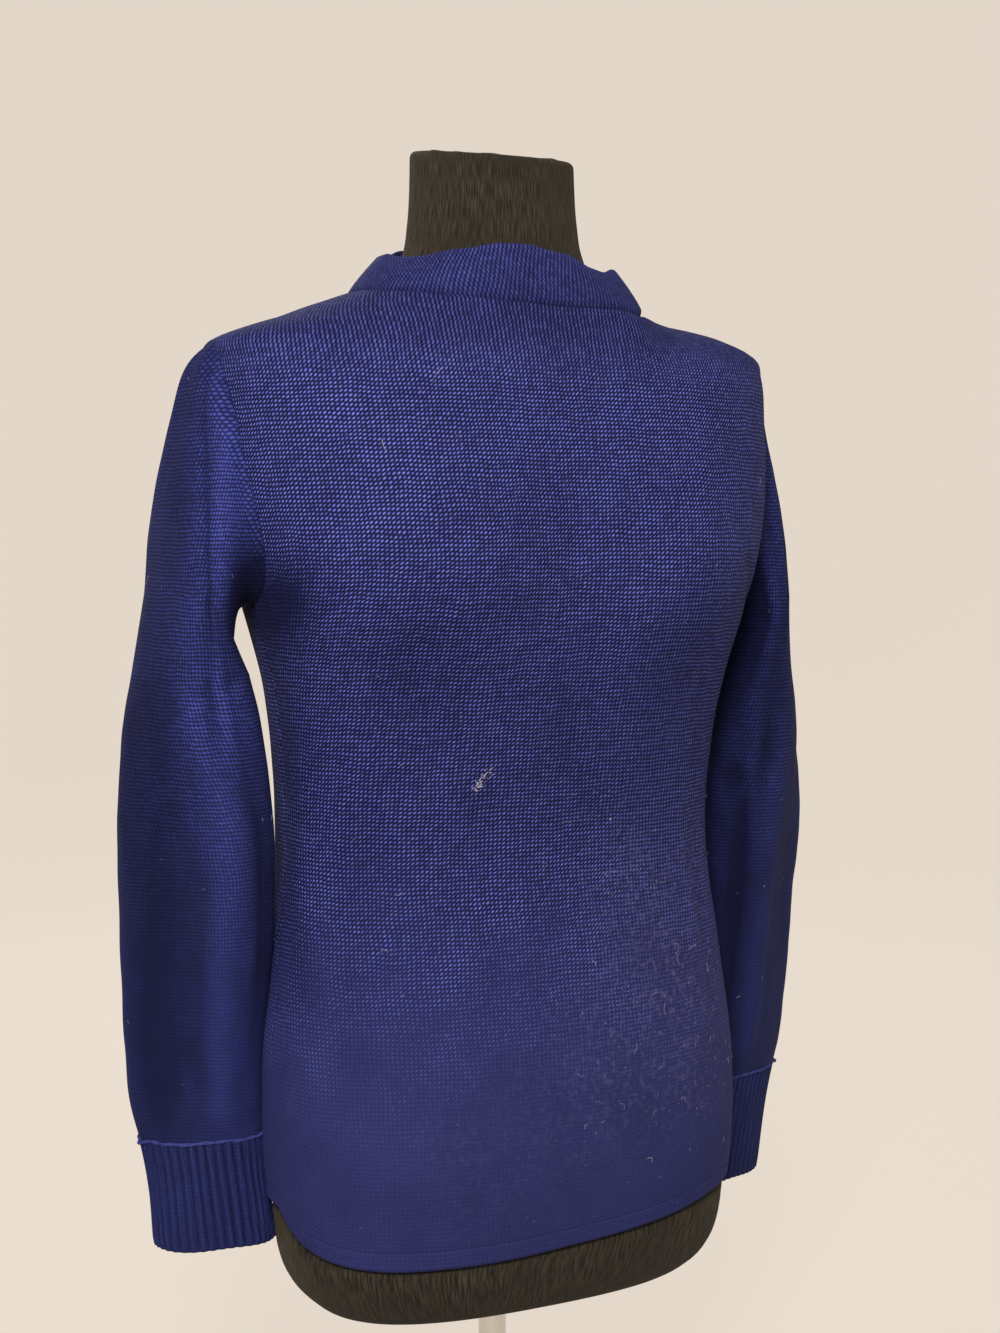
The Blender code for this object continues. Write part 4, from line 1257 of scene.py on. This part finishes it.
def fibre(shape, place, normal, heading, length, radius, curl):
    """Adds one bent fibre to the mesh, laid on the cloth at a place and bending as it goes."""
    normal = Vector(normal).normalized()
    along = (heading - heading.dot(normal) * normal).normalized()
    point = Vector(place) + normal * (FIBRE_LIFT + radius)
    corners = [2 * math.pi * corner / FIBRE_SIDES for corner in range(FIBRE_SIDES)]
    previous = None
    bend = chance.gauss(0, curl)
    for step in range(FIBRE_BENDS + 1):
        at_end = step in (0, FIBRE_BENDS)
        size = radius * (END_TAPER if at_end else 1.0)
        side = normal.cross(along)
        ring = []
        for turn in corners:
            off = size * (math.cos(turn) * side + math.sin(turn) * normal)
            ring.append(shape.verts.new(point + off))
        if previous:
            for corner in range(FIBRE_SIDES):
                after = (corner + 1) % FIBRE_SIDES
                shape.faces.new((previous[corner], previous[after], ring[after], ring[corner]))
        if at_end:
            shape.faces.new(ring if step else ring[::-1])
        previous = ring
        point = point + along * (length / FIBRE_BENDS)
        bend += chance.gauss(0, curl)
        along = (along * math.cos(bend) + side * math.sin(bend)).normalized()


def cloth_spot(surface, x, z):
    """The place and normal on a pressed panel nearest to an x and a z, above its folded edge."""
    grid, normals = [values[FOLD_ROW + 2 :] for values in surface]
    away = (grid[:, :, 0] - x) ** 2 + (grid[:, :, 2] - z) ** 2
    nearest = np.unravel_index(np.argmin(away), away.shape)
    return grid[nearest], normals[nearest]


def any_heading():
    """A random direction."""
    return Vector((chance.gauss(0, 1), chance.gauss(0, 1), chance.gauss(0, 1)))


# Pale wool and dust: off-white fibres, some of them bluish from the yarn.
lint_fibre, tree, shader = new_material("pale_lint", Base_Color=linear("c6c2d6"), Roughness=0.95)
spot = add_node(tree, "TexCoord", {})["Object"]
mixed = noise(tree, spot, 90.0, 2.0)
bluish = ramp(tree, mixed, 0.35, 0.65, kind="SMOOTHSTEP")
tree.links.new(blend(tree, bluish, "7f7aa6", "d8d2dc"), shader.inputs["Base Color"])
bumped(tree, shader, mixed, 0.1, 0.0001)

LINTY_SHARE = 0.55
FRONT_FIBRES = 340
ABOVE_HEM_Z = 0.245
chance = random.Random(29)
shape = bmesh.new()
front_surface = panel_surfaces["front_panel"]
for _ in range(FRONT_FIBRES):
    if chance.random() < LINTY_SHARE:
        lint = dict(zip(LINT_COLUMNS, chance.choice(LINTY_PLACES[:4])))
        x = chance.gauss(lint["x"], 0.6 * lint["reach"])
        z = chance.gauss(lint["z"], 0.6 * lint["reach"])
    else:
        x, z = chance.uniform(-0.15, 0.15), chance.uniform(0.25, 0.79)
    place, normal = cloth_spot(front_surface, x, max(z, ABOVE_HEM_Z))
    heading = any_heading()
    length = min(0.009, 0.0012 + chance.expovariate(1 / MEAN_EXTRA_LENGTH))
    fibre(shape, place, normal, heading, length, chance.uniform(0.00004, 0.00008), 0.20)

# Longer hairs and threads: x, z, length, direction in degrees from upright, radius.
HAIR_COLUMNS = ("x", "z", "length", "direction", "radius")
HAIRS = [
    (-0.089, 0.764, 0.012, 8, 0.00014), (-0.12, 0.722, 0.01, -10, 0.00013),
    (0.098, 0.405, 0.011, 70, 0.00016), (0.082, 0.412, 0.008, 120, 0.00014),
    (0.118, 0.386, 0.007, 20, 0.00014), (0.046, 0.345, 0.008, 15, 0.00018),
    (-0.113, 0.42, 0.008, 10, 0.00014), (0.034, 0.312, 0.007, 30, 0.00013),
    (0.15, 0.705, 0.009, 60, 0.00012), (0.052, 0.28, 0.009, 80, 0.00013),
    (0.036, 0.462, 0.006, 130, 0.00012), (0.06, 0.38, 0.009, 40, 0.00013),
]
for hair in named_rows(HAIR_COLUMNS, HAIRS):
    place, normal = cloth_spot(front_surface, hair["x"], hair["z"])
    direction = math.radians(hair["direction"])
    heading = Vector((math.sin(direction), 0, math.cos(direction)))
    fibre(shape, place, normal, heading, hair["length"], hair["radius"], 0.22)

# The pull: a slanting row of short tufts. Beside it, one round fleck.
PULL = {"x": -0.055, "z": 0.524, "length": 0.015, "lean": 40, "tufts": 46, "width": 0.0013}
TUFT_RADIUS = 0.00016
FLECK = {"x": 0.035, "z": 0.494, "radius": 0.0007, "lift": 0.0012}
lean = math.radians(PULL["lean"])
for _ in range(PULL["tufts"]):
    along = chance.uniform(-0.5, 0.5) * PULL["length"]
    x = PULL["x"] + along * math.sin(lean) + chance.gauss(0, PULL["width"])
    z = PULL["z"] + along * math.cos(lean) + chance.gauss(0, PULL["width"])
    place, normal = cloth_spot(front_surface, x, z)
    place = place + np.array([x - place[0], 0, z - place[2]])
    heading = Vector((chance.gauss(0.6, 1), 0, chance.gauss(0.8, 1)))
    fibre(shape, place, normal, heading, chance.uniform(0.0010, 0.0026), TUFT_RADIUS, 0.3)
place, normal = cloth_spot(front_surface, FLECK["x"], FLECK["z"])
fleck = bmesh.ops.create_icosphere(shape, subdivisions=2, radius=FLECK["radius"])["verts"]
bmesh.ops.translate(shape, verts=fleck, vec=Vector(place) + Vector(normal) * FLECK["lift"])

# A few fibres on the sleeves too.
SLEEVE_FIBRES = 36
for side in ("right", "left"):
    rings, normals = sleeve_surfaces[side]
    for _ in range(SLEEVE_FIBRES):
        i, j = chance.randrange(10, len(rings) - 3), chance.randrange(AROUND_SLEEVE)
        heading = any_heading()
        length = min(0.008, 0.0015 + chance.expovariate(1 / MEAN_EXTRA_LENGTH))
        fibre(shape, rings[i, j], normals[i, j], heading, length, 0.00009, 0.35)
add_piece("lint_fibres", shape, lint_fibre)

# ================================================================ the studio
# A pale seamless floor and wall all round, softly lit through, a soft lamp high in front on the
# wearer's right, a weak one beside the wearer's right, and a wide one behind.
STUDIO_RADIUS = 3.2
STUDIO_HEIGHT = 3.4
SWEEP_RADIUS = 0.9
SWEEP_STEPS = 12
SWEEP_AROUND = 128
FLOOR_DROP = 0.0004

# Warm white paper that light shines through, so that it looks evenly bright.
backdrop, tree, shader = new_material(
    "warm_white_paper", Base_Color=linear("5e5a55"), Roughness=0.95,
    Emission_Color=linear("e9ddcf"), Emission_Strength=0.86,
)
profile = [(0, -FLOOR_DROP), (STUDIO_RADIUS - SWEEP_RADIUS, -FLOOR_DROP)]
for step in range(1, SWEEP_STEPS + 1):
    turn = math.radians(90 * step / SWEEP_STEPS)
    profile.append((
        STUDIO_RADIUS - SWEEP_RADIUS + SWEEP_RADIUS * math.sin(turn),
        SWEEP_RADIUS * (1 - math.cos(turn)) - FLOOR_DROP,
    ))
profile.append((STUDIO_RADIUS, STUDIO_HEIGHT))
shape = spun(profile, SWEEP_AROUND)
bmesh.ops.reverse_faces(shape, faces=shape.faces)
sweep = new_object("studio_sweep", shape, backdrop)
sweep.visible_diffuse = False

world = bpy.data.worlds.new("studio_air")
bpy.context.scene.world = world
world.use_nodes = True
world.node_tree.nodes["Background"].inputs["Color"].default_value = linear("f4f2f0")
world.node_tree.nodes["Background"].inputs["Strength"].default_value = 0.22

LAMP_COLUMNS = ("name", "azimuth", "distance", "height", "size", "power", "colour")
LAMPS = [
    ("key", -31, 2.2, 1.70, 0.7, 64, "fffaf2"),
    ("fill", -75, 2.4, 1.2, 1.2, 6, "fdfaff"),
    ("rear", 165, 2.2, 1.6, 1.4, 16, "fffaf4"),
]
LAMPS_AIM = Vector((0, 0, 0.55))
for lamp in named_rows(LAMP_COLUMNS, LAMPS):
    light = bpy.data.lights.new(lamp["name"], "AREA")
    light.shape = "DISK"
    light.size = lamp["size"]
    light.energy = lamp["power"]
    light.color = linear(lamp["colour"])[:3]
    holder = bpy.data.objects.new(lamp["name"] + "_lamp", light)
    azimuth = math.radians(lamp["azimuth"])
    place = Vector((
        math.sin(azimuth) * lamp["distance"], -math.cos(azimuth) * lamp["distance"], lamp["height"]
    ))
    holder.location = place
    holder.rotation_euler = (LAMPS_AIM - place).to_track_quat("-Z", "Y").to_euler()
    bpy.context.scene.collection.objects.link(holder)

# The camera stands to the sweater's right of straight ahead, at the height of the bust, and looks
# a little down.
CAMERA_DISTANCE = 1.35
CAMERA_HEIGHT = 0.67
CAMERA_AZIMUTH = math.radians(27)
CAMERA_PITCH = math.radians(3.52766)
CAMERA_YAW = math.radians(0.22338)
LENS_MM = 55.4
SENSOR_MM = 36
camera = bpy.data.objects.new("camera", bpy.data.cameras.new("camera"))
camera.data.sensor_width = SENSOR_MM
camera.data.lens = LENS_MM
camera.data.clip_start = 0.05
camera.location = (
    -math.sin(CAMERA_AZIMUTH) * CAMERA_DISTANCE,
    -math.cos(CAMERA_AZIMUTH) * CAMERA_DISTANCE,
    CAMERA_HEIGHT,
)
camera.rotation_euler = (math.pi / 2 - CAMERA_PITCH, 0, -CAMERA_AZIMUTH - CAMERA_YAW)
bpy.context.scene.collection.objects.link(camera)
bpy.context.scene.camera = camera
bpy.context.scene.view_settings.view_transform = "Standard"
